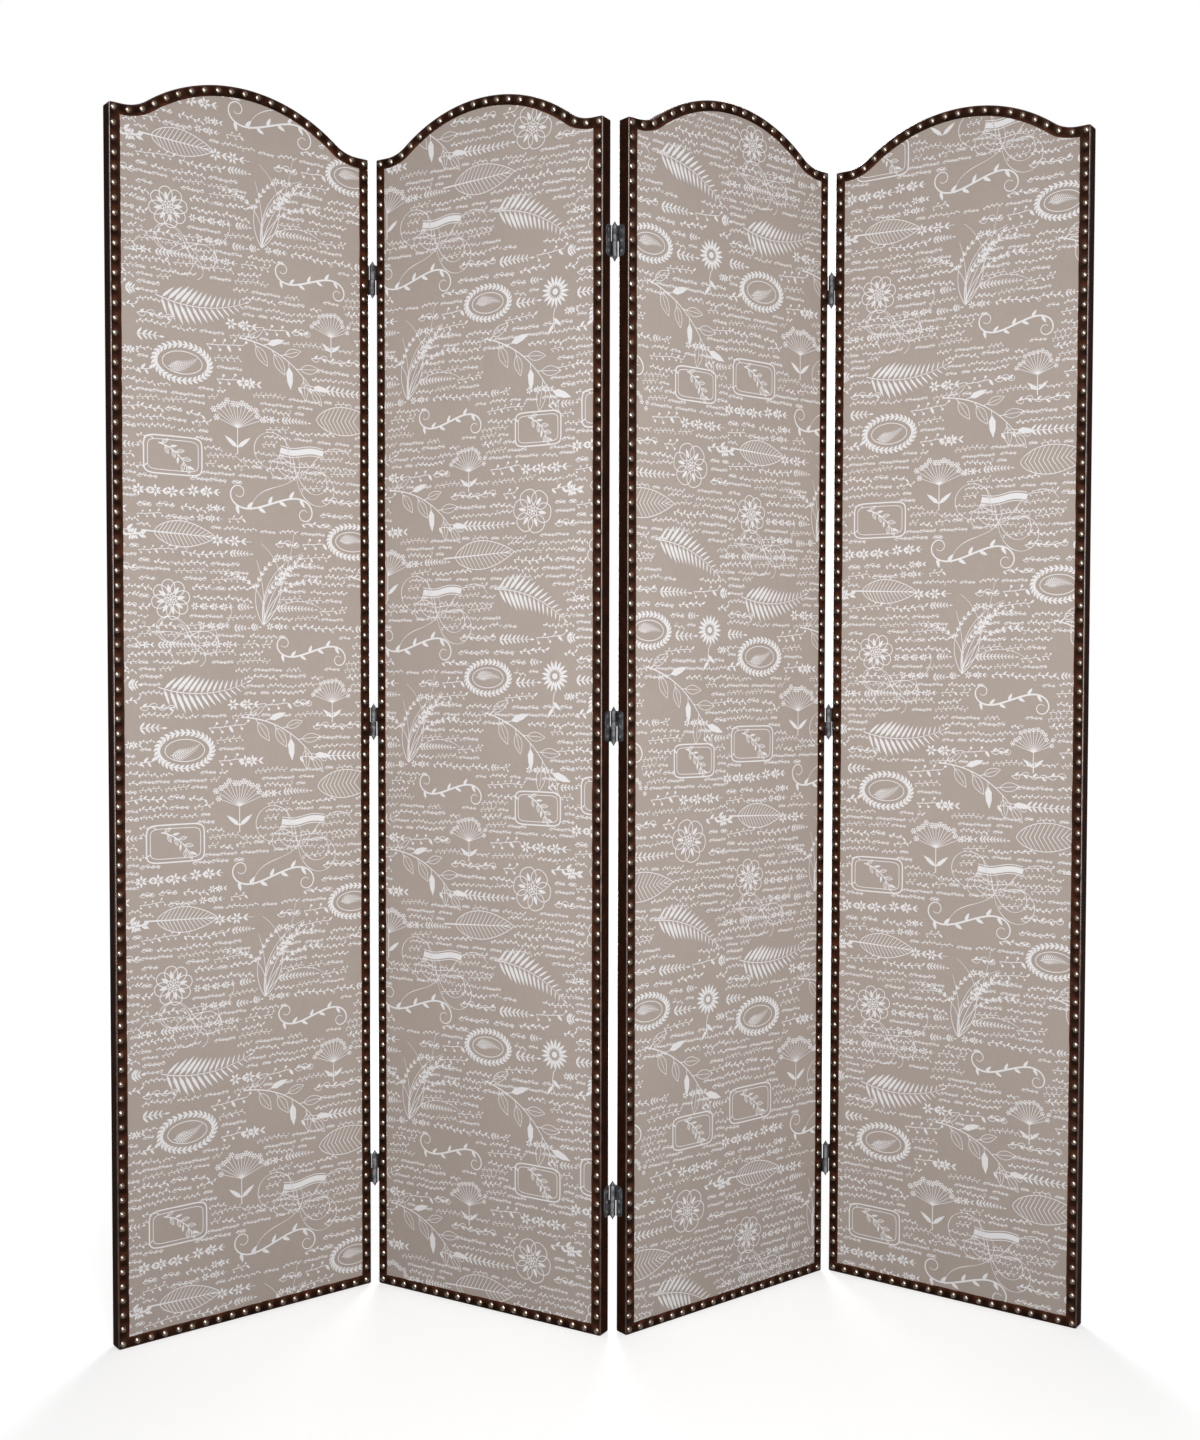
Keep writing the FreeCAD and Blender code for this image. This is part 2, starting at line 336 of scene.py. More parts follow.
def pick(piece, kind, wanted):
    """Selects, in edit mode, the vertices, edges or faces that the wanted test accepts."""
    bpy.ops.mesh.select_mode(type=kind)
    bpy.ops.mesh.select_all(action="DESELECT")
    mesh = bmesh.from_edit_mesh(piece.data)
    parts = {"VERT": mesh.verts, "EDGE": mesh.edges, "FACE": mesh.faces}[kind]
    found = [part for part in parts if wanted(part)]
    if not found:
        raise RuntimeError(f"nothing to select on {piece.name}")
    for part in found:
        part.select_set(True)
    mesh.select_flush_mode()
    bmesh.update_edit_mesh(piece.data)


def extrude(way):
    """Extrudes what is selected by a vector."""
    bpy.ops.mesh.extrude_region_move(TRANSFORM_OT_translate={"value": way})


def copy_of(piece, place, name):
    """A copy of a piece with its own mesh, moved there in its mesh."""
    mesh = piece.data.copy()
    mesh.transform(place)
    copy = bpy.data.objects.new(name, mesh)
    bpy.context.scene.collection.objects.link(copy)
    return copy


def join(pieces, name):
    """Several pieces as one mesh, with that name."""
    only(pieces[0])
    for piece in pieces:
        piece.select_set(True)
    bpy.ops.object.join()
    joined = bpy.context.object
    joined.name = name
    joined.data.name = name
    return joined


def scrap(piece):
    """Takes away a piece that was only modelled to be copied."""
    mesh = piece.data
    bpy.data.objects.remove(piece)
    bpy.data.meshes.remove(mesh)


def apply_modifier(piece, kind, **settings):
    """Adds a modifier with these settings and applies it."""
    only(piece)
    modifier = piece.modifiers.new(kind.title(), kind)
    for name, value in settings.items():
        setattr(modifier, name, value)
    bpy.ops.object.modifier_apply(modifier=modifier.name)


def break_edges(piece, width, segments, degrees):
    """Bevels the edges of a piece where its faces turn by more than that."""
    limit = math.radians(degrees)
    apply_modifier(piece, "BEVEL", width=width, segments=segments, limit_method="ANGLE", angle_limit=limit)


def smooth(piece, degrees):
    """Shades the rounded parts of a piece smooth and keeps its sharp edges."""
    only(piece)
    bpy.ops.object.shade_smooth_by_angle(angle=math.radians(degrees))


def attach(piece, number, slot, material, *replaced):
    """Puts a piece modelled in a panel's own frame in its place on that panel, in place of these nodes."""
    if not piece.data.materials:
        piece.data.materials.append(bpy.data.materials[material])
    piece.data.transform(panel_place(number))
    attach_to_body(piece, f"panel_{number}")
    if replaced:
        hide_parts(*replaced)
    return piece


# Materials


def put(tree, kind, inputs=None, **settings):
    """Adds a node, sets its properties, and joins or sets its inputs, which go by name or number."""
    node = tree.nodes.new(kind)
    for name, value in settings.items():
        setattr(node, name, value)
    for key, value in (inputs or {}).items():
        if isinstance(value, bpy.types.NodeSocket):
            tree.links.new(value, node.inputs[key])
        else:
            node.inputs[key].default_value = value
    return node


def maths(tree, operation, *values, clamp=False):
    """The result of a Math node."""
    node = put(tree, "ShaderNodeMath", dict(enumerate(values)), operation=operation, use_clamp=clamp)
    return node.outputs[0]


def ramp(tree, value, low, high):
    """The value rescaled so that low gives 0 and high gives 1, smoothly and within those ends."""
    inputs = {"Value": value, "From Min": low, "From Max": high}
    return put(tree, "ShaderNodeMapRange", inputs, interpolation_type="SMOOTHSTEP").outputs["Result"]


def blended(tree, share, first, second):
    """Two values mixed by a share of the second."""
    return put(tree, "ShaderNodeMix", {"Factor": share, 2: first, 3: second}, data_type="FLOAT").outputs[0]


def mixed(tree, share, first, second):
    """Two colours mixed by a share of the second."""
    node = put(tree, "ShaderNodeMix", {"Factor": share}, data_type="RGBA")
    for socket, value in zip((node.inputs[6], node.inputs[7]), (first, second)):
        if isinstance(value, bpy.types.NodeSocket):
            tree.links.new(value, socket)
        else:
            socket.default_value = (*value, 1.0)
    return node.outputs[2]


def cloudy(tree, where, scale, detail=3.0, stretch=(1, 1, 1)):
    """Noise at a place, finer with a larger scale and drawn out where stretch is small."""
    spread = put(tree, "ShaderNodeVectorMath", {0: where, 1: stretch}, operation="MULTIPLY").outputs[0]
    inputs = {"Vector": spread, "Scale": scale, "Detail": detail, "Roughness": 0.55}
    return put(tree, "ShaderNodeTexNoise", inputs).outputs["Fac"]


def new_group(name, takes, gives):
    """A shader node group with a vector input called Place, some value inputs and some value outputs."""
    group = bpy.data.node_groups.new(name, "ShaderNodeTree")
    group.interface.new_socket("Place", in_out="INPUT", socket_type="NodeSocketVector")
    for label, default in takes.items():
        socket = group.interface.new_socket(label, in_out="INPUT", socket_type="NodeSocketFloat")
        socket.default_value = default
    for label in gives:
        group.interface.new_socket(label, in_out="OUTPUT", socket_type="NodeSocketFloat")
    given = group.nodes.new("NodeGroupInput")
    return group, given.outputs, group.nodes.new("NodeGroupOutput").inputs


def use_group(tree, name, place, values=None):
    """The outputs of a node group placed in a material, with its own values."""
    node = put(tree, "ShaderNodeGroup", node_tree=bpy.data.node_groups[name])
    tree.links.new(place, node.inputs["Place"])
    for socket, value in (values or {}).items():
        node.inputs[socket].default_value = value
    return node.outputs


def linen_weave():
    """Plain weave: threads over and under each other, with slubs both ways, a slow change of tone, and
    painted shade between the raised threads.
    """
    group, given, result = new_group("linen_weave", {"Thread Pitch": 0.0011}, ("Height", "Tone"))
    apart = put(group, "ShaderNodeSeparateXYZ", {0: given["Place"]})
    waves = []
    for axis in (0, 1):
        turns = maths(group, "DIVIDE", apart.outputs[axis], given["Thread Pitch"])
        waves.append(maths(group, "SINE", maths(group, "MULTIPLY", turns, math.pi)))
    crossing = maths(group, "ABSOLUTE", maths(group, "MULTIPLY", *waves))
    weft_slub = cloudy(group, given["Place"], 1.0, 2.0, (40, 1500, 1))
    warp_slub = cloudy(group, given["Place"], 1.0, 2.0, (1500, 40, 1))
    slubs = maths(group, "ADD", weft_slub, warp_slub)
    height = maths(group, "MULTIPLY_ADD", slubs, 0.35, maths(group, "MULTIPLY", crossing, 0.6))
    group.links.new(height, result["Height"])
    slow = cloudy(group, given["Place"], 9.0, 4.0)
    tone = maths(group, "MULTIPLY_ADD", slow, 0.35, maths(group, "MULTIPLY", slubs, 0.5))
    # Painted shade: the weave's colour is darker in the hollows between raised threads
    tone = maths(group, "MULTIPLY_ADD", crossing, 0.3, tone)
    group.links.new(ramp(group, tone, 0.35, 1.15), result["Tone"])


def aged_surface():
    """Fine grain, and patches where a surface has worn or gone dull."""
    scales = {"Grain Scale": 900.0, "Patch Scale": 40.0}
    group, given, result = new_group("aged_surface", scales, ("Grain", "Patches"))
    cells = put(group, "ShaderNodeTexVoronoi", {"Vector": given["Place"], "Scale": given["Grain Scale"]})
    fine = cloudy(group, given["Place"], given["Grain Scale"], 2.0)
    group.links.new(maths(group, "MULTIPLY_ADD", cells.outputs["Distance"], 0.6, fine), result["Grain"])
    patches = cloudy(group, given["Place"], given["Patch Scale"], 4.0)
    group.links.new(ramp(group, patches, 0.36, 0.66), result["Patches"])


def new_material(name, values):
    """A material with one shader, its plain values set on the shader's own sockets."""
    material = bpy.data.materials.new(name)
    material.use_nodes = True
    tree = material.node_tree
    tree.nodes.clear()
    shader = put(tree, "ShaderNodeBsdfPrincipled", values)
    put(tree, "ShaderNodeOutputMaterial", {"Surface": shader.outputs["BSDF"]})
    return tree, shader


def bump(tree, shader, height, depth, strength):
    """Lets a height shape the shading of a surface, as deep as that in metres."""
    node = put(tree, "ShaderNodeBump", {"Height": height, "Distance": depth, "Strength": strength})
    tree.links.new(node.outputs["Normal"], shader.inputs["Normal"])


def own_place(tree):
    """Where a point lies on its piece, in metres."""
    return put(tree, "ShaderNodeTexCoord").outputs["Object"]


def cloth_place(tree):
    """Where a point lies on its cloth, across and up in metres."""
    return put(tree, "ShaderNodeUVMap", uv_map="cloth").outputs["UV"]


def woven(tree, shader, colours):
    """The weave on a cloth surface: gives its colour and height."""
    weave = use_group(tree, "linen_weave", cloth_place(tree))
    bump(tree, shader, weave["Height"], 0.00022, 0.7)
    return mixed(tree, weave["Tone"], colours.cloth_shade, colours.cloth), weave["Height"]


def linen_material(colours):
    """Dull cloth in the colours of its threads."""
    values = {"Roughness": 0.92, "Specular IOR Level": 0.06, "Sheen Weight": 0.05}
    tree, shader = new_material("printed_linen", values)
    ground, _ = woven(tree, shader, colours)
    tree.links.new(ground, shader.inputs["Base Color"])


def ink_material(colours):
    """Pale ink that sits on the high threads and is worn thin in places."""
    tree, shader = new_material("linen_ink", {"Roughness": 0.85, "Specular IOR Level": 0.1})
    ground, height = woven(tree, shader, colours)
    wear = cloudy(tree, cloth_place(tree), 420.0, 3.0)
    laid = maths(tree, "MULTIPLY_ADD", height, 0.35, wear)
    share = maths(tree, "MULTIPLY_ADD", ramp(tree, laid, 0.40, 0.62), 0.35, 0.65)
    tree.links.new(mixed(tree, share, ground, colours.ink), shader.inputs["Base Color"])


def leather_material(colours):
    """Dark smooth leather, worn brown along its edges and lip, with a painted highlight above each nail and
    along its folds, and polished where it is folded.
    """
    tree, shader = new_material("dark_leather", {"Specular IOR Level": 0.002, "Coat Roughness": 0.25})
    surface = use_group(tree, "aged_surface", own_place(tree), {"Grain Scale": 850.0, "Patch Scale": 55.0})
    rub = put(tree, "ShaderNodeAttribute", attribute_name="rub").outputs["Fac"]
    gloss = put(tree, "ShaderNodeAttribute", attribute_name="gloss").outputs["Fac"]
    patchy = maths(tree, "MULTIPLY_ADD", surface["Patches"], 0.5, 0.5)
    # The brown mark is wear at the lip and edges, and a painted highlight above each nail and along the
    # folds
    share = maths(tree, "MULTIPLY", rub, patchy, clamp=True)
    tree.links.new(mixed(tree, share, colours.leather, colours.leather_wear_and_highlight), shader.inputs["Base Color"])
    tree.links.new(gloss, shader.inputs["Coat Weight"])
    tree.links.new(maths(tree, "MULTIPLY_ADD", surface["Patches"], 0.16, 0.32), shader.inputs["Roughness"])
    bump(tree, shader, surface["Grain"], 0.00016, 0.5)


def metal_material(name, bright, dark, roughness, grain_scale, patch_scale, pit_depth):
    """Metal with fine pits that has gone dull in patches. Roughness is that of the bright and the dull."""
    tree, shader = new_material(name, {"Metallic": 1.0})
    scales = {"Grain Scale": grain_scale, "Patch Scale": patch_scale}
    surface = use_group(tree, "aged_surface", own_place(tree), scales)
    tree.links.new(mixed(tree, surface["Patches"], bright, dark), shader.inputs["Base Color"])
    smoothest, roughest = roughness
    rough = maths(tree, "MULTIPLY_ADD", surface["Patches"], roughest - smoothest, smoothest)
    tree.links.new(rough, shader.inputs["Roughness"])
    bump(tree, shader, surface["Grain"], pit_depth, 0.4)


def wood_material(name, light, dark, stretch, grain_scale):
    """Wood or board with drawn-out fibres."""
    tree, shader = new_material(name, {"Roughness": 0.6, "Specular IOR Level": 0.3})
    where = own_place(tree)
    fibres = cloudy(tree, where, grain_scale, 4.0, stretch)
    surface = use_group(tree, "aged_surface", where, {"Grain Scale": 500.0, "Patch Scale": 12.0})
    share = maths(tree, "MULTIPLY_ADD", surface["Patches"], 0.25, ramp(tree, fibres, 0.4, 0.75), clamp=True)
    tree.links.new(mixed(tree, share, light, dark), shader.inputs["Base Color"])
    bump(tree, shader, fibres, 0.0004, 0.5)


# Print


class Drawing:
    """Flat shapes of ink: points across and up in metres, the layer of each, and faces that join them."""

    layer_count = 13

    def __init__(self):
        self.points = []
        self.layers = []
        self.faces = []
        self.shapes = 0

    def add(self, points, joins):
        """Takes in one shape, in the next layer in turn, so that crossing shapes don't lie in one plane."""
        start = len(self.points)
        self.points.extend(tuple(point) for point in points)
        self.layers.extend([self.shapes % self.layer_count] * len(points))
        self.faces.extend(tuple(start + corner for corner in face) for face in joins)
        self.shapes += 1

    def stroke(self, line, width):
        """A pen stroke along a line of points, of one width or a width at each point."""
        line = np.asarray(line, float)
        along = np.gradient(line, axis=0)
        along /= np.linalg.norm(along, axis=1)[:, None] + tiny
        count = len(line)
        widths = np.broadcast_to(width, count)[:, None]
        aside = np.stack([-along[:, 1], along[:, 0]], axis=1) * widths / 2
        joins = [(i + count, i + count + 1, i + 1, i) for i in range(count - 1)]
        self.add(np.concatenate([line + aside, line - aside]), joins)

    def leaf(self, base, way, size, breadth=0.36):
        """A filled pointed leaf that grows from its base at an angle."""
        outline = np.array([(0, 0), (0.28, -0.46), (0.66, -0.38), (1, 0), (0.66, 0.38), (0.28, 0.46)])
        aside = towards(way + math.pi / 2)
        points = base + size * (outline[:, :1] * towards(way) + breadth * outline[:, 1:] * aside)
        self.add(points, [tuple(range(len(outline)))])

    def dot(self, centre, radius, corners=6):
        """A filled round spot."""
        turns = np.arange(corners) * 2 * math.pi / corners
        points = np.stack([np.cos(turns), np.sin(turns)], axis=1) * radius + centre
        self.add(points, [tuple(range(corners))])


def towards(way, reach=1.0):
    """A step at an angle, as long as reach."""
    return np.array([math.cos(way), math.sin(way)]) * reach


def grown(base, headings, reach):
    """A line that sets out from its base and follows these headings in even steps."""
    steps = np.stack([np.cos(headings), np.sin(headings)], axis=1) * reach / len(headings)
    return np.vstack([base, base + np.cumsum(steps, axis=0)])


def stem(drawing, base, way, reach, bend, pen, count):
    """A bowed stem that thins to its tip. Gives its points and its headings."""
    headings = way + bend * np.linspace(0, 1, count)
    line = grown(base, headings, reach)
    drawing.stroke(line, np.linspace(pen, pen * 0.5, count + 1))
    return line, np.append(headings, headings[-1])


def curl(drawing, base, way, reach, turn, pen):
    """A tendril that winds up at its end."""
    headings = way + turn * 5.4 * np.linspace(0, 1, 13) ** 2
    drawing.stroke(grown(base, headings, reach), np.linspace(pen, pen * 0.6, 14))


# Rows of small growth: each runs to the right from a place, as long as reach and about as high as size


def leafy_row(drawing, place, reach, size, pen, rng):
    """A swaying stem with a leaf on each side in turn, and a tendril here and there."""
    count = max(3, round(reach / (0.42 * size)))
    sway = 0.16 * np.sin(np.linspace(0, reach / size * 1.3, count) + rng.uniform(0, 6))
    line = grown(place, sway + rng.uniform(-0.03, 0.03), reach)
    drawing.stroke(line, pen * rng.uniform(0.8, 1.0))
    lean = math.radians(rng.uniform(34, 52))
    leaf = size * rng.uniform(0.46, 0.58)
    for step, base in enumerate(line):
        side = 1 if step % 2 else -1
        if rng.random() < 0.08:
            curl(drawing, base, side * lean, leaf * 1.9, side * rng.choice((-1, 1)), pen * 0.9)
        else:
            drawing.leaf(base, side * lean + rng.uniform(-0.15, 0.15), leaf * rng.uniform(0.8, 1.1), 0.42)


def paired_row(drawing, place, reach, size, pen, rng):
    """A straight stem with pairs of narrow leaves that shorten towards its end."""
    count = max(3, round(reach / (0.38 * size)))
    line = grown(place, np.linspace(0.06, -0.06, count) * rng.choice((-1, 1)), reach)
    drawing.stroke(line, np.linspace(pen, pen * 0.6, count + 1))
    for step in range(count):
        for side in (-1, 1):
            way = side * rng.uniform(0.75, 0.95)
            drawing.leaf(line[step], way, size * (0.56 - 0.26 * step / count), 0.32)
    drawing.leaf(line[-1], 0, size * 0.4, 0.4)


def berry_row(drawing, place, reach, size, pen, rng):
    """A stem with berries on short stalks and a few leaves between them."""
    count = max(3, round(reach / (0.4 * size)))
    line = grown(place, 0.12 * np.sin(np.linspace(0, reach / size, count)), reach)
    drawing.stroke(line, pen * 0.9)
    for step, base in enumerate(line):
        way = (1 if step % 2 else -1) * rng.uniform(0.7, 1.15)
        if step % 5 == 4:
            drawing.leaf(base, way, size * 0.55, 0.44)
            continue
        tip = base + towards(way, size * rng.uniform(0.3, 0.44))
        drawing.stroke([base, tip], pen * 0.7)
        drawing.dot(tip, size * 0.105)


def tendril_row(drawing, place, reach, size, pen, rng):
    """A swaying stem that puts out curls above and below it."""
    count = max(3, round(reach / (0.62 * size)))
    line = grown(place, 0.2 * np.cos(np.linspace(0, math.pi * count / 2, 3 * count)), reach)
    drawing.stroke(line, pen)
    for step in range(count):
        side = 1 if step % 2 else -1
        curl(drawing, line[3 * step], side * 0.7, size * 1.15, -side, pen * 0.95)
        drawing.leaf(line[3 * step + 1], -side * 0.7, size * 0.4, 0.42)


def floret_row(drawing, place, reach, size, pen, rng):
    """Small open flowers with leaves between them."""
    count = max(2, round(reach / (1.15 * size)))
    line = grown(place, np.zeros(count), reach)
    drawing.stroke(line, pen * 0.6)
    for base in line[:-1]:
        turn = rng.uniform(0, 1)
        for petal in range(6):
            way = turn + petal * math.pi / 3
            drawing.leaf(base + towards(way, size * 0.08), way, size * 0.36, 0.5)
        for side in (-1, 1):
            drawing.leaf(base + (size * 0.5, 0), side * 0.6, size * 0.44, 0.36)


fine_rows = (leafy_row, leafy_row, tendril_row, tendril_row, berry_row)
coarse_rows = (leafy_row, paired_row, berry_row, tendril_row, floret_row)


# Large motifs: each is drawn about a centre, and gives the half width and half height that it takes up


def frond(drawing, centre, size, pen, rng):
    """A fern frond: a bowed stem with pairs of leaflets that shorten to the tip."""
    pairs = 15
    lean = rng.uniform(-0.35, 0.35)
    bend = rng.choice((-0.7, 0.7))
    root = centre - towards(lean + bend / 2, size / 2)
    line, headings = stem(drawing, root, lean, size, bend, pen * 1.3, 3 * pairs)
    for pair in range(1, pairs):
        step = 3 * pair
        leaflet = size * 0.3 * (1 - 0.8 * pair / pairs) * min(1.0, 0.45 + 0.2 * pair)
        for side in (-1, 1):
            drawing.leaf(line[step], headings[step] + side * 0.98, leaflet, 0.17)
    drawing.leaf(line[-1], headings[-1], size * 0.07, 0.3)
    return size * 0.45, size * 0.22


def branch(drawing, centre, size, pen, rng):
    """A bowed twig with long-stalked leaves, some filled and some in outline."""
    leaves = 9
    lean = rng.uniform(-0.4, 0.4)
    bend = rng.choice((-0.9, 0.9))
    root = centre - towards(lean + bend / 2, size / 2)
    line, headings = stem(drawing, root, lean, size, bend, pen * 1.7, 4 * leaves)
    for number in range(1, leaves + 1):
        step = 4 * number - 2
        way = headings[step] + (1 if number % 2 else -1) * rng.uniform(0.6, 0.9)
        base = line[step] + towards(way, size * 0.05)
        drawing.stroke([line[step], base], pen)
        leaf = size * rng.uniform(0.2, 0.25)
        if number % 3 == 0:
            drawing.leaf(base, way, leaf, 0.34)
        else:
            open_leaf(drawing, base, way, leaf, pen)
    open_leaf(drawing, line[-1], headings[-1], size * 0.2, pen)
    return size * 0.42, size * 0.2


def open_leaf(drawing, base, way, size, pen):
    """A leaf in outline with its rib."""
    share = np.linspace(0, 1, 11)[:, None]
    wide = 0.21 * size * np.sin(math.pi * share**0.85) * towards(way + math.pi / 2)
    for side in (-1, 1):
        drawing.stroke(base + size * share * towards(way) + side * wide, pen * 0.8)
    drawing.stroke([base, base + towards(way, size * 0.8)], pen * 0.7)


def blossom(drawing, centre, size, pen, rng):
    """An open flower: petals in outline, each with a filled heart, round a ring of dots."""
    petals = rng.choice((6, 7, 8))
    turn = rng.uniform(0, 1)
    swing = np.linspace(0, math.pi, 13)[:, None]
    reach = 0.24 + 0.38 * (1 - np.cos(swing))
    half = 0.88 * math.sin(math.pi / petals) * np.maximum(np.sin(swing), 0) ** 0.8
    for petal in range(petals):
        way = turn + petal * 2 * math.pi / petals
        for side in (-1, 1):
            edge = reach * towards(way) + side * half * towards(way + math.pi / 2)
            drawing.stroke(centre + size * edge, pen * 1.1)
        drawing.leaf(centre + towards(way, size * 0.32), way, size * 0.46, 0.4)
    for seed in range(7):
        drawing.dot(centre + towards(seed * 2 * math.pi / 7, size * 0.15), size * 0.055)
    drawing.dot(centre, size * 0.08)
    return size * 1.08, size * 1.08


def daisy(drawing, centre, size, pen, rng):
    """A flower of many narrow filled petals on a stem with two leaves."""
    for petal in range(17):
        way = petal * 2 * math.pi / 17
        drawing.leaf(centre + towards(way, size * 0.3), way, size * 0.7, 0.3)
    drawing.dot(centre, size * 0.2, 12)
    line, headings = stem(drawing, centre - (0, size * 0.95), -1.9, size * 1.5, 0.7, pen * 1.2, 12)
    for step, side in ((5, 1), (8, -1)):
        drawing.leaf(line[step], headings[step] + side * 0.8, size * 0.8, 0.3)
    return size * 1.1, size * 1.5


def umbel(drawing, centre, size, pen, rng):
    """A flower head of fine rays that end in clusters of dots."""
    base = centre - (0, size * 0.95)
    top = centre - (0, size * 0.15)
    drawing.stroke([base, top], [pen * 1.4, pen])
    for ray in range(13):
        tip = top + towards(math.pi / 2 + (ray - 6) * 0.2, size * rng.uniform(0.72, 0.95))
        drawing.stroke([top, tip], pen * 0.7)
        for spot in range(6):
            drawing.dot(tip + towards(spot * math.pi / 3, size * 0.07), size * 0.03)
        drawing.dot(tip, size * 0.035)
    for side in (-1, 1):
        drawing.leaf(base + (0, size * 0.2), math.pi / 2 + side * 0.9, size * 0.55, 0.26)
    return size * 0.85, size * 1.0


def ring_line(centre, half_width, half_height, squareness=1.0):
    """A closed line: an oval, or nearly a rectangle where the squareness is small."""
    turns = np.linspace(0, 2 * math.pi, 65)
    circle = np.stack([np.cos(turns), np.sin(turns)], axis=1)
    return np.sign(circle) * np.abs(circle) ** squareness * (half_width, half_height) + centre


def wreath(drawing, centre, size, pen, rng):
    """An oval wreath of leaves with a thin oval and a frond in it."""
    high = size * 0.62
    ring = ring_line(centre, size, high)
    drawing.stroke(ring, pen * 1.2)
    drawing.stroke(ring_line(centre, size * 0.72, high * 0.62), pen)
    for step in range(0, 64, 2):
        ahead = ring[step + 1] - ring[step]
        for side in (-1, 1):
            drawing.leaf(ring[step], math.atan2(ahead[1], ahead[0]) + side * 0.65, high * 0.34, 0.46)
    frond(drawing, centre, size * 1.1, pen * 0.8, rng)
    return size * 1.15, high * 1.3


def plaque(drawing, centre, size, pen, rng):
    """A frame of two lines with a twig in it."""
    high = size * 0.62
    drawing.stroke(ring_line(centre, size, high, 0.3), pen * 1.7)
    drawing.stroke(ring_line(centre, size * 0.87, high * 0.8, 0.3), pen * 0.9)
    branch(drawing, centre, size * 1.25, pen, rng)
    return size * 1.06, high * 1.15


def broad_leaf(drawing, centre, size, pen, rng):
    """A large leaf in outline, with its rib and fine veins."""
    lean = rng.uniform(-0.25, 0.25)
    base = centre - towards(lean, size * 0.42)
    share = np.linspace(0, 1, 31)[:, None]
    wide = 0.2 * np.abs(np.sin(math.pi * share**0.8)) ** 0.8
    for side in (-1, 1):
        edge = base + size * (share * towards(lean) + side * wide * towards(lean + math.pi / 2))
        drawing.stroke(edge, pen)
        for step in range(2, 28, 2):
            vein = [base + towards(lean, size * step / 31), edge[min(step + 3, 30)]]
            drawing.stroke(vein, [pen, pen * 0.6])
    rib = [base - towards(lean, size * 0.2), base + towards(lean, size * 0.95)]
    drawing.stroke(rib, [pen * 2, pen * 0.7])
    return size * 0.55, size * 0.2


def ribbon(drawing, centre, size, pen, rng):
    """A solid waving band between two thin lines."""
    share = np.linspace(-1, 1, 31)
    wave = np.stack([share, 0.07 * np.sin(share * math.pi)], axis=1) * size + centre
    drawing.stroke(wave, size * 0.24)
    for side in (-1, 1):
        drawing.stroke(wave + (0, side * size * 0.19), pen)
    return size, size * 0.25


def scroll(drawing, centre, size, pen, rng):
    """A long flourish that winds up at both ends, above and below, with leaves along it."""
    place = np.linspace(-1, 1, 88)
    headings = rng.uniform(-0.15, 0.15) + rng.choice((-1, 1)) * (7.4 * np.abs(place) ** 2.7 - 0.35)
    line = grown(np.zeros(2), headings, size * 1.75)
    line += centre - line.mean(axis=0)
    drawing.stroke(line, pen * 2.4 * (0.3 + 0.7 * np.cos(np.linspace(-1, 1, 89) * math.pi / 2)))
    for step in range(24, 66, 6):
        side = 1 if (step // 6) % 2 else -1
        drawing.leaf(line[step], headings[step] + side * 0.8, size * 0.1, 0.4)
    return size * 0.52, size * 0.2


def grasses(drawing, centre, size, pen, rng):
    """A tuft of long thin blades that cross each other, some with seeds along them."""
    base = centre - (0, size * 0.5)
    for blade in range(11):
        way = math.radians(rng.uniform(40, 140))
        reach = size * rng.uniform(0.75, 1.15)
        bend = rng.uniform(-1.9, 1.9)
        line, headings = stem(drawing, base, way, reach, bend, pen, 24)
        if blade % 2 == 0:
            for step in range(12, 24, 2):
                for side in (-1, 1):
                    drawing.leaf(line[step], headings[step] + side * 0.5, size * 0.055, 0.42)
    return size * 0.16, size * 0.5


def climber(drawing, centre, size, pen, rng):
    """Long thin tendrils that loop over whatever is printed below them."""
    for strand in range(3):
        share = np.linspace(0, 1, 72)
        start = rng.uniform(0, 6.3)
        sway = 2.6 * np.sin(share * rng.uniform(5, 8) + strand)
        drift = rng.uniform(-3, 3) * share
        line = grown(np.zeros(2), start + sway + drift, size * 2.6)
        line += centre - line.mean(axis=0)
        drawing.stroke(line, pen * (0.55 + 0.45 * np.sin(np.linspace(0, 20, 73)) ** 2))
    return 0.0, 0.0


# Large motifs of one repeat, with their place across and up as shares of the repeat and their size in metres
motifs = (
    (wreath, 0.14, 0.905, 0.042),
    (branch, 0.44, 0.93, 0.140),
    (blossom, 0.85, 0.91, 0.033),
    (broad_leaf, 0.66, 0.80, 0.108),
    (umbel, 0.31, 0.765, 0.048),
    (plaque, 0.11, 0.665, 0.044),
    (climber, 0.50, 0.655, 0.130),
    (frond, 0.84, 0.665, 0.135),
    (scroll, 0.42, 0.56, 0.150),
    (daisy, 0.93, 0.475, 0.024),
    (wreath, 0.69, 0.47, 0.039),
    (broad_leaf, 0.13, 0.465, 0.094),
    (grasses, 0.39, 0.35, 0.130),
    (branch, 0.80, 0.29, 0.155),
    (blossom, 0.10, 0.295, 0.029),
    (climber, 0.16, 0.20, 0.110),
    (ribbon, 0.52, 0.705, 0.036),
    (scroll, 0.55, 0.165, 0.130),
    (plaque, 0.87, 0.125, 0.040),
    (frond, 0.20, 0.075, 0.140),
    (umbel, 0.62, 0.035, 0.038),
)


def free_runs(level, half, kept, width):
    """The stretches across one repeat, at a level, that no large motif takes up."""
    shortest_run = 0.010
    runs = [(0.0, width)]
    for (across, up), half_width, half_height in kept:
        off = abs(level - up) / (half_height + half)
        if off < 1:
            reach = half_width * math.sqrt(1 - off**2) + half
            cut = []
            for start, end in runs:
                cut += [(start, min(end, across - reach)), (max(start, across + reach), end)]
            runs = [(start, end) for start, end in cut if end - start > shortest_run]
    return runs


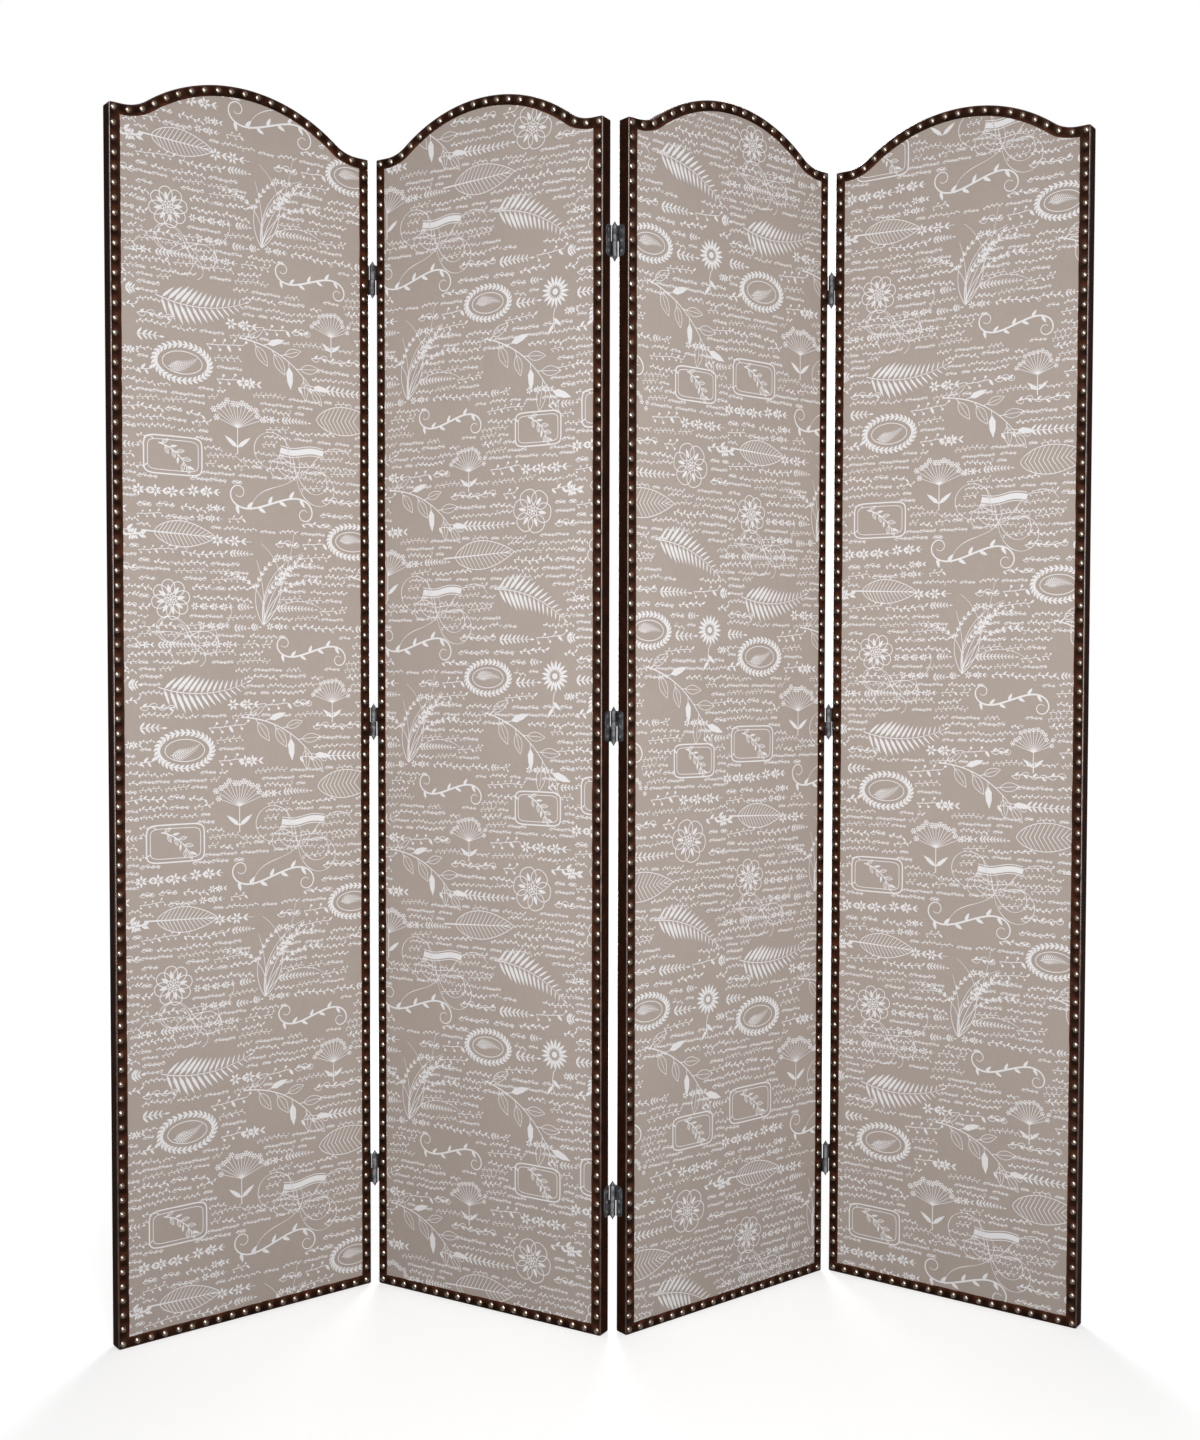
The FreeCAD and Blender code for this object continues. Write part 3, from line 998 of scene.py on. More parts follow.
def draw_repeat(layout):
    """One repeat of the print: large motifs, with rows of small growth in several sizes between them."""
    row_scales = (1.0, 1.0, 1.0, 1.2, 1.2, 1.5, 2.2)
    coarse_scale = 1.4
    row_start = (0, 0.003)
    row_reach = (0.012, 0.055)
    row_gap = (0.004, 0.008)
    shortest_row = 0.008
    rng = random.Random(layout.seed)
    drawing = Drawing()
    repeat = np.array([layout.repeat_width, layout.repeat_height])
    kept = []
    for motif, across, up, size in motifs:
        centre = repeat * (across, up)
        taken = motif(drawing, centre, size, layout.pen_width, rng)
        if taken[0] > 0:
            kept.append((centre, *taken))
    level = 0.0
    while level < layout.repeat_height:
        scale = rng.choice(row_scales)
        pitch = layout.row_pitch * scale
        pen = layout.pen_width * 0.72 * scale**0.5
        middle = level + pitch / 2
        for start, end in free_runs(middle, pitch * 0.25, kept, layout.repeat_width):
            across = start + rng.uniform(*row_start)
            while end - across > shortest_row:
                reach = min(rng.uniform(*row_reach) * (0.5 + 0.5 * scale), end - across)
                place = np.array([across, middle + rng.uniform(-0.12, 0.12) * pitch])
                draw_row = rng.choice(fine_rows if scale < coarse_scale else coarse_rows)
                draw_row(drawing, place, reach, pitch * 0.88, pen, rng)
                across += reach + rng.uniform(*row_gap) * scale**0.5
        level += pitch * rng.uniform(0.92, 1.02)
    return drawing


def print_on(drawing, layout, sizes, number, face):
    """The repeats of the print that fall on one face of a panel: points across and up, layers, and faces."""
    panel_shift = np.array([0.17, 0.21])
    back_shift = 0.11 if face == "back" else 0.0
    under_leather = 0.4
    points = np.array(drawing.points)
    repeat = np.array([layout.repeat_width, layout.repeat_height])
    shift = (panel_shift * number + back_shift) % repeat
    margin = sizes.binding_lap * (1 - under_leather)
    spots = []
    layers = []
    joins = []
    for column in range(-2, 3):
        for row in range(-2, int(sizes.panel_height / layout.repeat_height) + 2):
            placed = points + repeat * (column, row + 0.5 * (column % 2)) - shift
            across, up = placed.T
            inside = (np.abs(across) < sizes.panel_width / 2 - margin) & (up > margin)
            inside = (inside & (up < top_height(sizes, across, margin))).tolist()
            wanted = [corners for corners in drawing.faces if all(inside[corner] for corner in corners)]
            used = sorted({corner for corners in wanted for corner in corners})
            renumbered = {corner: len(spots) + index for index, corner in enumerate(used)}
            spots.extend(placed[corner] for corner in used)
            layers.extend(drawing.layers[corner] for corner in used)
            joins.extend(tuple(renumbered[corner] for corner in corners) for corners in wanted)
    return spots, np.array(layers), joins


def flat_piece(name, spots, joins, depth, face):
    """A flat mesh on one face of a panel, at one depth or at a depth for each point.

    It has the cloth's map in metres and a bake map that fills the unit square.
    """
    spots = np.asarray(spots)
    mesh = bpy.data.meshes.new(name)
    vertices = np.stack([spots[:, 0], sign(face) * np.full(len(spots), depth), spots[:, 1]], axis=1)
    if face == "back":
        joins = [tuple(reversed(corners)) for corners in joins]
    mesh.from_pydata(vertices.tolist(), [], joins)
    corner_spots = spots[[loop.vertex_index for loop in mesh.loops]]
    filled = (corner_spots - spots.min(axis=0)) / np.ptp(spots, axis=0)
    for map_name, where in (("cloth", corner_spots), ("OFBake", filled)):
        layer = mesh.uv_layers.new(name=map_name)
        layer.uv.foreach_set("vector", where.astype(np.float32).ravel())
    piece = bpy.data.objects.new(name, mesh)
    bpy.context.scene.collection.objects.link(piece)
    return piece


# Operators


class SCREEN_OT_mix_finishes(bpy.types.Operator):
    """Makes the materials, and gives the pieces of the frame inside the panels theirs"""

    bl_idname = "folding_screen.mix_finishes"
    bl_label = "Mix Finishes"

    def execute(self, context):
        colours = context.scene.screen_colours
        linen_weave()
        aged_surface()
        linen_material(colours)
        ink_material(colours)
        leather_material(colours)
        metal_material(
            "aged_bronze",
            colours.bronze,
            colours.bronze_dark,
            roughness=(0.24, 0.34),
            grain_scale=1600.0,
            patch_scale=260.0,
            pit_depth=0.00003,
        )
        metal_material(
            "dull_steel",
            colours.steel,
            colours.steel_dark,
            roughness=(0.34, 0.55),
            grain_scale=1200.0,
            patch_scale=120.0,
            pit_depth=0.00004,
        )
        metal_material(
            "bright_steel",
            colours.screw,
            colours.steel,
            roughness=(0.25, 0.4),
            grain_scale=1500.0,
            patch_scale=400.0,
            pit_depth=0.00002,
        )
        wood_material("pale_timber", colours.wood, colours.wood_dark, (1, 1, 0.06), 160.0)
        wood_material("brown_board", colours.board, colours.board_dark, (1, 1, 1), 300.0)
        for node, piece in frame["nodes"].items():
            finish = "brown_board" if node.endswith("board") else "pale_timber"
            if node.endswith(("stile", "rail", "rails", "board")):
                piece.data.materials.clear()
                piece.data.materials.append(bpy.data.materials[finish])
        return {"FINISHED"}


class SCREEN_OT_stretch_cloth(bpy.types.Operator):
    """Stretches the cloth over both faces of each panel"""

    bl_idname = "folding_screen.stretch_cloth"
    bl_label = "Stretch Cloth"

    def execute(self, context):
        sizes = context.scene.screen_sizes
        columns = 45
        rows = 24
        half = sizes.panel_width / 2 - sizes.cloth_inset
        across = np.linspace(-half, half, columns)
        bottom = sizes.cloth_inset
        top = top_height(sizes, across, sizes.cloth_inset)
        shares = np.linspace(0, 1, rows)
        spots = [(x, bottom + share * (high - bottom)) for share in shares for x, high in zip(across, top)]
        joins = []
        for row in range(rows - 1):
            for column in range(columns - 1):
                first = row * columns + column
                joins.append((first, first + 1, first + columns + 1, first + columns))
        for number in panel_numbers:
            for face in faces:
                cloth = flat_piece(f"panel_{number}_{face}_linen", spots, joins, sizes.cloth_face, face)
                apply_modifier(cloth, "SOLIDIFY", thickness=sizes.cloth_thickness, offset=-1.0)
                attach(cloth, number, "printed_cloth", "printed_linen", f"panel_{number}_{face}_cloth")
        return {"FINISHED"}


class SCREEN_OT_print_cloth(bpy.types.Operator):
    """Prints the cloth of each panel"""

    bl_idname = "folding_screen.print_cloth"
    bl_label = "Print Cloth"

    def execute(self, context):
        sizes = context.scene.screen_sizes
        layout = context.scene.print_layout
        drawing = draw_repeat(layout)
        for number in panel_numbers:
            for face in faces:
                spots, layers, joins = print_on(drawing, layout, sizes, number, face)
                depth = sizes.cloth_face + sizes.ink_height + sizes.ink_layer * layers
                ink = flat_piece(f"panel_{number}_{face}_print", spots, joins, depth, face)
                attach(ink, number, "printed_cloth", "linen_ink")
        return {"FINISHED"}


class SCREEN_OT_bind_edges(bpy.types.Operator):
    """Folds a leather strip over each edge of the panels, mitred at the corners and drawn in at the nails"""

    bl_idname = "folding_screen.bind_edges"
    bl_label = "Bind Edges"

    def execute(self, context):
        sizes = context.scene.screen_sizes
        shoulder = sizes.shoulder_height
        half = sizes.panel_width / 2
        across = self.straight_strip(sizes, sizes.panel_width)
        upright = self.straight_strip(sizes, shoulder)
        top = self.top_strip(sizes)
        left = Matrix.Translation((-half, 0, shoulder / 2)) @ Matrix.Rotation(-math.pi / 2, 4, "Y")
        right = Matrix.Translation((half, 0, shoulder / 2)) @ Matrix.Rotation(math.pi / 2, 4, "Y")
        strips = [
            copy_of(top, Matrix.Translation((0, 0, shoulder)), "top"),
            copy_of(across, Matrix.Rotation(math.pi, 4, "Y"), "bottom"),
            copy_of(upright, left, "left"),
            copy_of(upright, right, "right"),
        ]
        binding = join(strips, "binding")
        self.draw_in(sizes, binding)
        apply_modifier(
            binding, "SOLIDIFY", thickness=sizes.leather_thickness, offset=-1.0, use_even_offset=True
        )
        smooth(binding, 50.0)
        for number in panel_numbers:
            copy = copy_of(binding, Matrix(), f"panel_{number}_leather_binding")
            attach(copy, number, "binding_leather", "dark_leather", f"panel_{number}_edge_binding")
        for piece in (across, upright, top, binding):
            scrap(piece)
        return {"FINISHED"}

    def section(self, sizes):
        """The open U of a folded strip at the origin. The strip runs along +X, with its fold at z = 0."""
        lap = sizes.binding_lap
        fold = sizes.arris_radius
        fold_segments = 4
        face_cuts = 4
        begin()
        bpy.ops.mesh.primitive_plane_add(size=1.0)
        strip = bpy.context.object
        stand_up = Matrix(((0, 0, 1, 0), (0, sizes.panel_depth, 0, 0), (lap, 0, 0, -lap / 2), (0, 0, 0, 1)))
        strip.data.transform(stand_up)
        edit(strip)
        bpy.ops.mesh.delete(type="ONLY_FACE")
        pick(strip, "EDGE", lambda edge: all(vertex.co.z < -lap / 2 for vertex in edge.verts))
        bpy.ops.mesh.delete(type="EDGE")
        pick(strip, "VERT", lambda vertex: vertex.co.z > -tiny)
        bpy.ops.mesh.bevel(offset=fold, offset_type="OFFSET", segments=fold_segments, affect="VERTICES")
        pick(strip, "EDGE", lambda edge: edge.calc_length() > 2 * fold)
        bpy.ops.mesh.subdivide(number_cuts=face_cuts)
        bpy.ops.mesh.select_all(action="SELECT")
        return strip

    @staticmethod
    def runs_along(edge):
        """True for an edge along the straight part of a strip."""
        run = edge.verts[1].co - edge.verts[0].co
        return abs(run.y) < tiny and abs(run.z) < tiny

    def divide(self, strip, longest):
        """Cuts the straight edges along a strip that are longer than that into short ones."""
        most_cuts = 100
        for _ in range(2):
            edges = bmesh.from_edit_mesh(strip.data).edges
            lengths = [edge.calc_length() for edge in edges if self.runs_along(edge)]
            cuts = math.ceil(max(lengths) / longest) - 1
            if cuts < 1:
                return
            pick(strip, "EDGE", lambda edge: self.runs_along(edge) and edge.calc_length() > longest * 1.01)
            bpy.ops.mesh.subdivide(number_cuts=min(most_cuts, cuts))

    def straight_strip(self, sizes, reach):
        """The strip over a straight edge, as long as reach."""
        strip = self.section(sizes)
        extrude((reach, 0, 0))
        bpy.ops.mesh.select_all(action="SELECT")
        bpy.ops.transform.translate(value=(-reach / 2, 0, 0))
        self.divide(strip, sizes.leather_step)
        return self.mitre(strip, reach)

    def top_strip(self, sizes):
        """The strip over the serpentine top: shoulder, cove, crown, cove, shoulder."""
        strip = self.section(sizes)
        bpy.ops.transform.translate(value=(-sizes.panel_width / 2, 0, 0))
        step = sizes.leather_step
        cove_steps = math.ceil(sizes.cove_radius * sizes.curve_angle / step)
        crown_steps = math.ceil(2 * sizes.crown_radius * sizes.curve_angle / step)
        bends = (
            (cove_steps, sizes.curve_angle, (-sizes.curve_run, 0, sizes.cove_radius)),
            (crown_steps, -2 * sizes.curve_angle, (0, 0, sizes.crown_rise - sizes.crown_radius)),
            (cove_steps, sizes.curve_angle, (sizes.curve_run, 0, sizes.cove_radius)),
        )
        extrude((sizes.shoulder_flat, 0, 0))
        for steps, turn, centre in bends:
            bpy.ops.mesh.spin(steps=steps, angle=turn, center=centre, axis=(0, 1, 0))
        extrude((sizes.shoulder_flat, 0, 0))
        self.divide(strip, step)
        return self.mitre(strip, sizes.panel_width)

    @staticmethod
    def mitre(strip, reach):
        """Cuts both ends of a strip at 45 degrees and turns its faces outwards."""
        gap = 0.0001
        bpy.ops.mesh.select_all(action="SELECT")
        bpy.ops.mesh.remove_doubles(threshold=tiny)
        for end in (-1, 1):
            bpy.ops.mesh.select_all(action="SELECT")
            corner = (end * (reach / 2 - gap), 0, 0)
            bpy.ops.mesh.bisect(plane_co=corner, plane_no=(end, 0, -1), clear_outer=True)
        bpy.ops.mesh.select_all(action="SELECT")
        bpy.ops.mesh.normals_make_consistent(inside=False)
        begin()
        highest = max(strip.data.polygons, key=lambda polygon: polygon.center.z)
        if highest.normal.z < 0:
            strip.data.flip_normals()
        return strip

    def draw_in(self, sizes, binding):
        """Lets each nail draw the leather in, rounds the corners, and marks where it is worn brown, where a
        highlight is painted above each nail and along the folds, and where it is glossy.
        """
        waver_scale = 90.0
        ripple = 0.0001
        dent_reach = 1.5 * sizes.nail_radius
        highlight_reach = 1.2 * sizes.nail_radius
        highlight_rise = 0.8 * sizes.nail_radius
        lip_start = 0.75 * sizes.binding_lap
        lip_width = 0.25 * sizes.binding_lap
        cut_edge = sizes.binding_lap - 0.0005
        cut_scale = 60.0
        cut_shift = Vector((7, 0, 3))
        spots = nail_spots(sizes)
        tree = kdtree.KDTree(len(spots))
        for index, (across, up) in enumerate(spots):
            tree.insert((across, 0, up), index)
        tree.balance()
        face = sizes.panel_depth / 2
        rub = np.zeros(len(binding.data.vertices), np.float32)
        gloss = np.zeros_like(rub)
        for vertex in binding.data.vertices:
            place = vertex.co.copy()
            waver = noise.noise(place * waver_scale)
            inset = self.inset(sizes, place)
            if abs(place.y) > face - tiny:
                nail, _, near = tree.find((place.x, 0, place.z))
                dent = math.exp(-((near / dent_reach) ** 2))
                vertex.co.y -= math.copysign(sizes.nail_dent * (dent - 0.3) - ripple * waver, place.y)
                # Painted highlight: a lighter patch a little above each nail, where light from above catches
                # the puffed leather, with painted shade left below it; the lip and the waver are wear
                off_highlight = math.hypot(place.x - nail.x, place.z - nail.z - highlight_rise)
                painted_highlight = math.exp(-((off_highlight / highlight_reach) ** 2))
                lip = max(0.0, (inset - lip_start) / lip_width)
                rub[vertex.index] = 0.1 + 0.7 * painted_highlight + 0.5 * lip + 0.25 * waver
                gloss[vertex.index] = 0.2 * rub[vertex.index]
            elif abs(place.y) > face - sizes.arris_radius + tiny:
                # Along the fold the brown is wear and also a painted highlight
                rub[vertex.index] = 0.4 + 0.4 * waver
                gloss[vertex.index] = 0.85 + 0.4 * waver
            else:
                rub[vertex.index] = 0.20 + 0.12 * waver
            if inset > cut_edge:
                pull = sizes.lip_waver * noise.noise(place * cut_scale + cut_shift)
                vertex.co += self.inward(sizes, place) * pull
            self.round_corner(sizes, vertex)
        for name, values in (("rub", rub), ("gloss", gloss)):
            layer = binding.data.attributes.new(name, "FLOAT", "POINT")
            layer.data.foreach_set("value", np.clip(values, 0, 1))

    @staticmethod
    def inset(sizes, place):
        """How far a point lies inside the panel's outline, near enough for the leather."""
        below = float(top_height(sizes, place.x)) - place.z
        steep = min(1.0, max(0.0, sizes.curve_run - abs(place.x)) / sizes.crown_radius)
        return min(sizes.panel_width / 2 - abs(place.x), place.z, below * math.sqrt(1 - steep**2))

    @staticmethod
    def inward(sizes, place):
        """The way from the nearest edge of the panel towards its middle, level or upright."""
        side = sizes.panel_width / 2 - abs(place.x)
        if side < 1.05 * sizes.binding_lap and side < place.z and side < sizes.shoulder_height - place.z:
            return Vector((-math.copysign(1, place.x), 0, 0))
        return Vector((0, 0, 1 if place.z < sizes.panel_height / 2 else -1))

    @staticmethod
    def round_corner(sizes, vertex):
        """Brings a point near one of the four corners of the outline back to their rounding."""
        radius = sizes.corner_radius
        up = 1 if vertex.co.z > sizes.panel_height / 2 else -1
        edge_z = sizes.shoulder_height if up > 0 else 0.0
        off_x = radius - (sizes.panel_width / 2 - abs(vertex.co.x))
        off_z = radius - up * (edge_z - vertex.co.z)
        away = math.hypot(off_x, off_z)
        if off_x > 0 and off_z > 0 and away > radius:
            shrink = radius / away
            vertex.co.x = math.copysign(sizes.panel_width / 2 - radius + off_x * shrink, vertex.co.x)
            vertex.co.z = edge_z - up * (radius - off_z * shrink)


class SCREEN_OT_drive_nails(bpy.types.Operator):
    """Drives a row of domed nails round both faces of each panel"""

    bl_idname = "folding_screen.drive_nails"
    bl_label = "Drive Nails"

    def execute(self, context):
        sizes = context.scene.screen_sizes
        seed = 5
        rng = random.Random(seed)
        nail = self.head(sizes)
        spots = nail_spots(sizes)
        for number in panel_numbers:
            for face in faces:
                heads = [copy_of(nail, self.seat(sizes, face, spot, rng), "head") for spot in spots]
                row = join(heads, f"panel_{number}_{face}_nail_heads")
                replaced = [f"panel_{number}_nails"] if face == "front" else []
                attach(row, number, "nail_bronze", "aged_bronze", *replaced)
        scrap(nail)
        return {"FINISHED"}

    @staticmethod
    def head(sizes):
        """A dome at the origin that looks towards -Y, closed at its back."""
        segments = 12
        rings = 9
        ball = (sizes.nail_radius**2 + sizes.nail_height**2) / (2 * sizes.nail_height)
        rim = ball - sizes.nail_height
        begin()
        bpy.ops.mesh.primitive_uv_sphere_add(segments=segments, ring_count=rings, radius=ball)
        nail = edit(bpy.context.object)
        bpy.ops.mesh.bisect(plane_co=(0, 0, rim), plane_no=(0, 0, 1), clear_inner=True, use_fill=True)
        bpy.ops.mesh.select_all(action="SELECT")
        bpy.ops.transform.translate(value=(0, 0, -rim))
        bpy.ops.mesh.normals_make_consistent(inside=False)
        begin()
        nail.data.transform(Matrix.Rotation(math.pi / 2, 4, "X"))
        smooth(nail, 50.0)
        return nail

    @staticmethod
    def seat(sizes, face, spot, rng):
        """Where one nail goes, a little off its row and a little tilted, as driven by hand."""
        stray = 0.0004
        tilt = math.radians(3.0)
        depth = sizes.panel_depth / 2 - sizes.nail_sink
        across = spot[0] + rng.uniform(-stray, stray)
        up = spot[1] + rng.uniform(-stray, stray)
        place = Matrix.Translation((across, sign(face) * depth, up))
        turn = Matrix.Rotation(0 if face == "front" else math.pi, 4, "Z")
        nod = Matrix.Rotation(rng.uniform(-tilt, tilt), 4, "X")
        swing = Matrix.Rotation(rng.uniform(-tilt, tilt), 4, "Z")
        roll = Matrix.Rotation(rng.uniform(0, math.pi), 4, "Y")
        return place @ turn @ (nod @ swing) @ roll


class SCREEN_OT_hang_hinges(bpy.types.Operator):
    """Screws three hinges to each pair of panels: leaves, screws and pins with pointed tips"""

    bl_idname = "folding_screen.hang_hinges"
    bl_label = "Hang Hinges"

    def execute(self, context):
        sizes = context.scene.screen_sizes
        screw = self.screw(sizes)
        pin = self.pin(sizes)
        for line, face, left, right in hinge_lines:
            for number, side in ((left, "left"), (right, "right")):
                leaf = self.leaf(sizes, side, face, screw)
                name = f"{line}_leaves_panel_{number}"
                leaves = self.at_levels(sizes, leaf, side, face, line, name)
                attach(leaves, number, "hinge_steel", "dull_steel", f"{line}_hinge_leaves_panel_{number}")
                scrap(leaf)
            pins = self.at_levels(sizes, pin, "left", face, line, f"{line}_pins")
            attach(pins, left, "hinge_steel", "dull_steel", f"{line}_hinge_pins")
        scrap(screw)
        scrap(pin)
        return {"FINISHED"}

    @staticmethod
    def at_levels(sizes, piece, side, face, line, name):
        """Copies of a hinge piece on the three levels of a hinge line, for the panel on that side of it."""
        lift = sizes.middle_line_lift if line == "middle" else 0.0
        low = sizes.hinge_end_distance + lift
        centre = sizes.shoulder_height / 2 + sizes.centre_hinge_lift
        high = sizes.shoulder_height - sizes.hinge_end_distance + lift
        across = -sign(side) * (sizes.panel_width + sizes.edge_gap) / 2
        depth = sign(face) * (sizes.panel_depth / 2 + sizes.axis_standoff)
        places = [Matrix.Translation((across, depth, level)) for level in (low, centre, high)]
        return join([copy_of(piece, place, name) for place in places], name)

    @staticmethod
    def block(low, high):
        """A box between two corners."""
        begin()
        middle = (Vector(low) + Vector(high)) / 2
        span = [abs(end - start) for start, end in zip(low, high)]
        bpy.ops.mesh.primitive_cube_add(size=1.0, location=middle, scale=span)
        bpy.ops.object.transform_apply(location=True, rotation=True, scale=True)
        return bpy.context.object

    @staticmethod
    def rod(radius, low, high, corners):
        """A cylinder about Z between two levels."""
        begin()
        middle = (0, 0, (low + high) / 2)
        span = high - low
        bpy.ops.mesh.primitive_cylinder_add(vertices=corners, radius=radius, depth=span, location=middle)
        bpy.ops.object.transform_apply(location=True, rotation=True, scale=True)
        return bpy.context.object

    @staticmethod
    def combine(piece, other, operation):
        """Adds another piece to a piece or cuts it away, and takes away the other."""
        apply_modifier(piece, "BOOLEAN", operation=operation, object=other, solver="EXACT")
        scrap(other)

    @staticmethod
    def crosses(edge):
        """True for an edge through the thickness of a leaf."""
        return abs(edge.verts[0].co.x - edge.verts[1].co.x) > tiny

    def leaf(self, sizes, side, face, screw):
        """A leaf about its axis at the origin. The left panel's leaf has the lower knuckle."""
        barrel_corners = 28
        bore_corners = 20
        edge_width = 0.0003
        half = sizes.hinge_height / 2
        way = sign(side)
        inward = -sign(face)
        low, high = sorted((way * sizes.knuckle_gap / 2, way * half))
        seat = way * sizes.edge_gap / 2
        outer = seat - way * sizes.leaf_thickness
        notch = inward * (sizes.knuckle_radius + sizes.notch_play)
        far = inward * (sizes.axis_standoff + sizes.leaf_reach)
        leaf = edit(self.block((seat, notch, -half), (outer, far, half)))
        pick(leaf, "EDGE", lambda edge: self.crosses(edge) and abs(edge.verts[0].co.y - far) < tiny)
        bpy.ops.mesh.bevel(offset=sizes.leaf_rounding, segments=5, affect="EDGES")
        begin()
        self.combine(leaf, self.block((seat, 0, low), (outer, notch * 1.1, high)), "UNION")
        self.combine(leaf, self.rod(sizes.knuckle_radius, low, high, barrel_corners), "UNION")
        bore = sizes.pin_radius + sizes.pin_play
        through = half * 1.2
        self.combine(leaf, self.rod(bore, -through, through, bore_corners), "DIFFERENCE")
        break_edges(leaf, edge_width, 2, 50.0)
        smooth(leaf, 35.0)
        leaf.data.materials.append(bpy.data.materials["dull_steel"])
        parts = [leaf]
        for share in (-0.66, 0.0, 0.66):
            slot_turn = share * 1.7 + 0.4
            turn = Matrix.Rotation(-way * math.pi / 2, 4, "Y") @ Matrix.Rotation(slot_turn, 4, "Z")
            place = Matrix.Translation((outer, (notch + far) / 2, share * half))
            parts.append(copy_of(screw, place @ turn, "screw"))
        return join(parts, "leaf")

    def screw(self, sizes):
        """A slotted screw head at the origin that looks towards +Z, with its foot sunk in the leaf."""
        head_corners = 16
        edge_width = 0.00025
        slot = sizes.screw_radius * 0.14
        top = sizes.screw_height
        slot_depth = 0.8 * top

        def in_slot(face):
            """True for a face on top of the head, within the width of the slot."""
            return all(vertex.co.z > top - tiny and abs(vertex.co.y) < slot + tiny for vertex in face.verts)

        head = edit(self.rod(sizes.screw_radius, -top, top, head_corners))
        for offset in (-slot, slot):
            bpy.ops.mesh.select_all(action="SELECT")
            bpy.ops.mesh.bisect(plane_co=(0, offset, 0), plane_no=(0, 1, 0))
        pick(head, "FACE", in_slot)
        extrude((0, 0, -slot_depth))
        bpy.ops.mesh.select_all(action="SELECT")
        bpy.ops.mesh.remove_doubles(threshold=tiny)
        bpy.ops.mesh.normals_make_consistent(inside=False)
        begin()
        break_edges(head, edge_width, 2, 60.0)
        smooth(head, 35.0)
        head.data.materials.append(bpy.data.materials["bright_steel"])
        return head

    def pin(self, sizes):
        """A pin about its axis at the origin, drawn out to a pointed tip above and below."""
        pin_corners = 20
        edge_width = 0.0002
        half = sizes.hinge_height / 2 + sizes.pin_rise
        pin = self.rod(sizes.pin_radius, -half, half, pin_corners)
        # Shares of the tip's radius and of its height, from its base to its point
        rings = ((1.0, 0.0), (1.0, 0.18), (0.62, 0.45), (0.28, 0.8), (0.05, 1.0))
        for end in (-1, 1):
            edit(pin)
            pick(pin, "FACE", lambda face: face.calc_center_median().z * end > half - tiny)
            radius = sizes.pin_radius
            level = 0.0
            for share, up in rings:
                extrude((0, 0, end * (up - level) * sizes.tip_height))
                grow = share * sizes.tip_radius / radius
                bpy.ops.transform.resize(value=(grow, grow, 1))
                radius *= grow
                level = up
        begin()
        break_edges(pin, edge_width, 1, 60.0)
        smooth(pin, 50.0)
        return pin


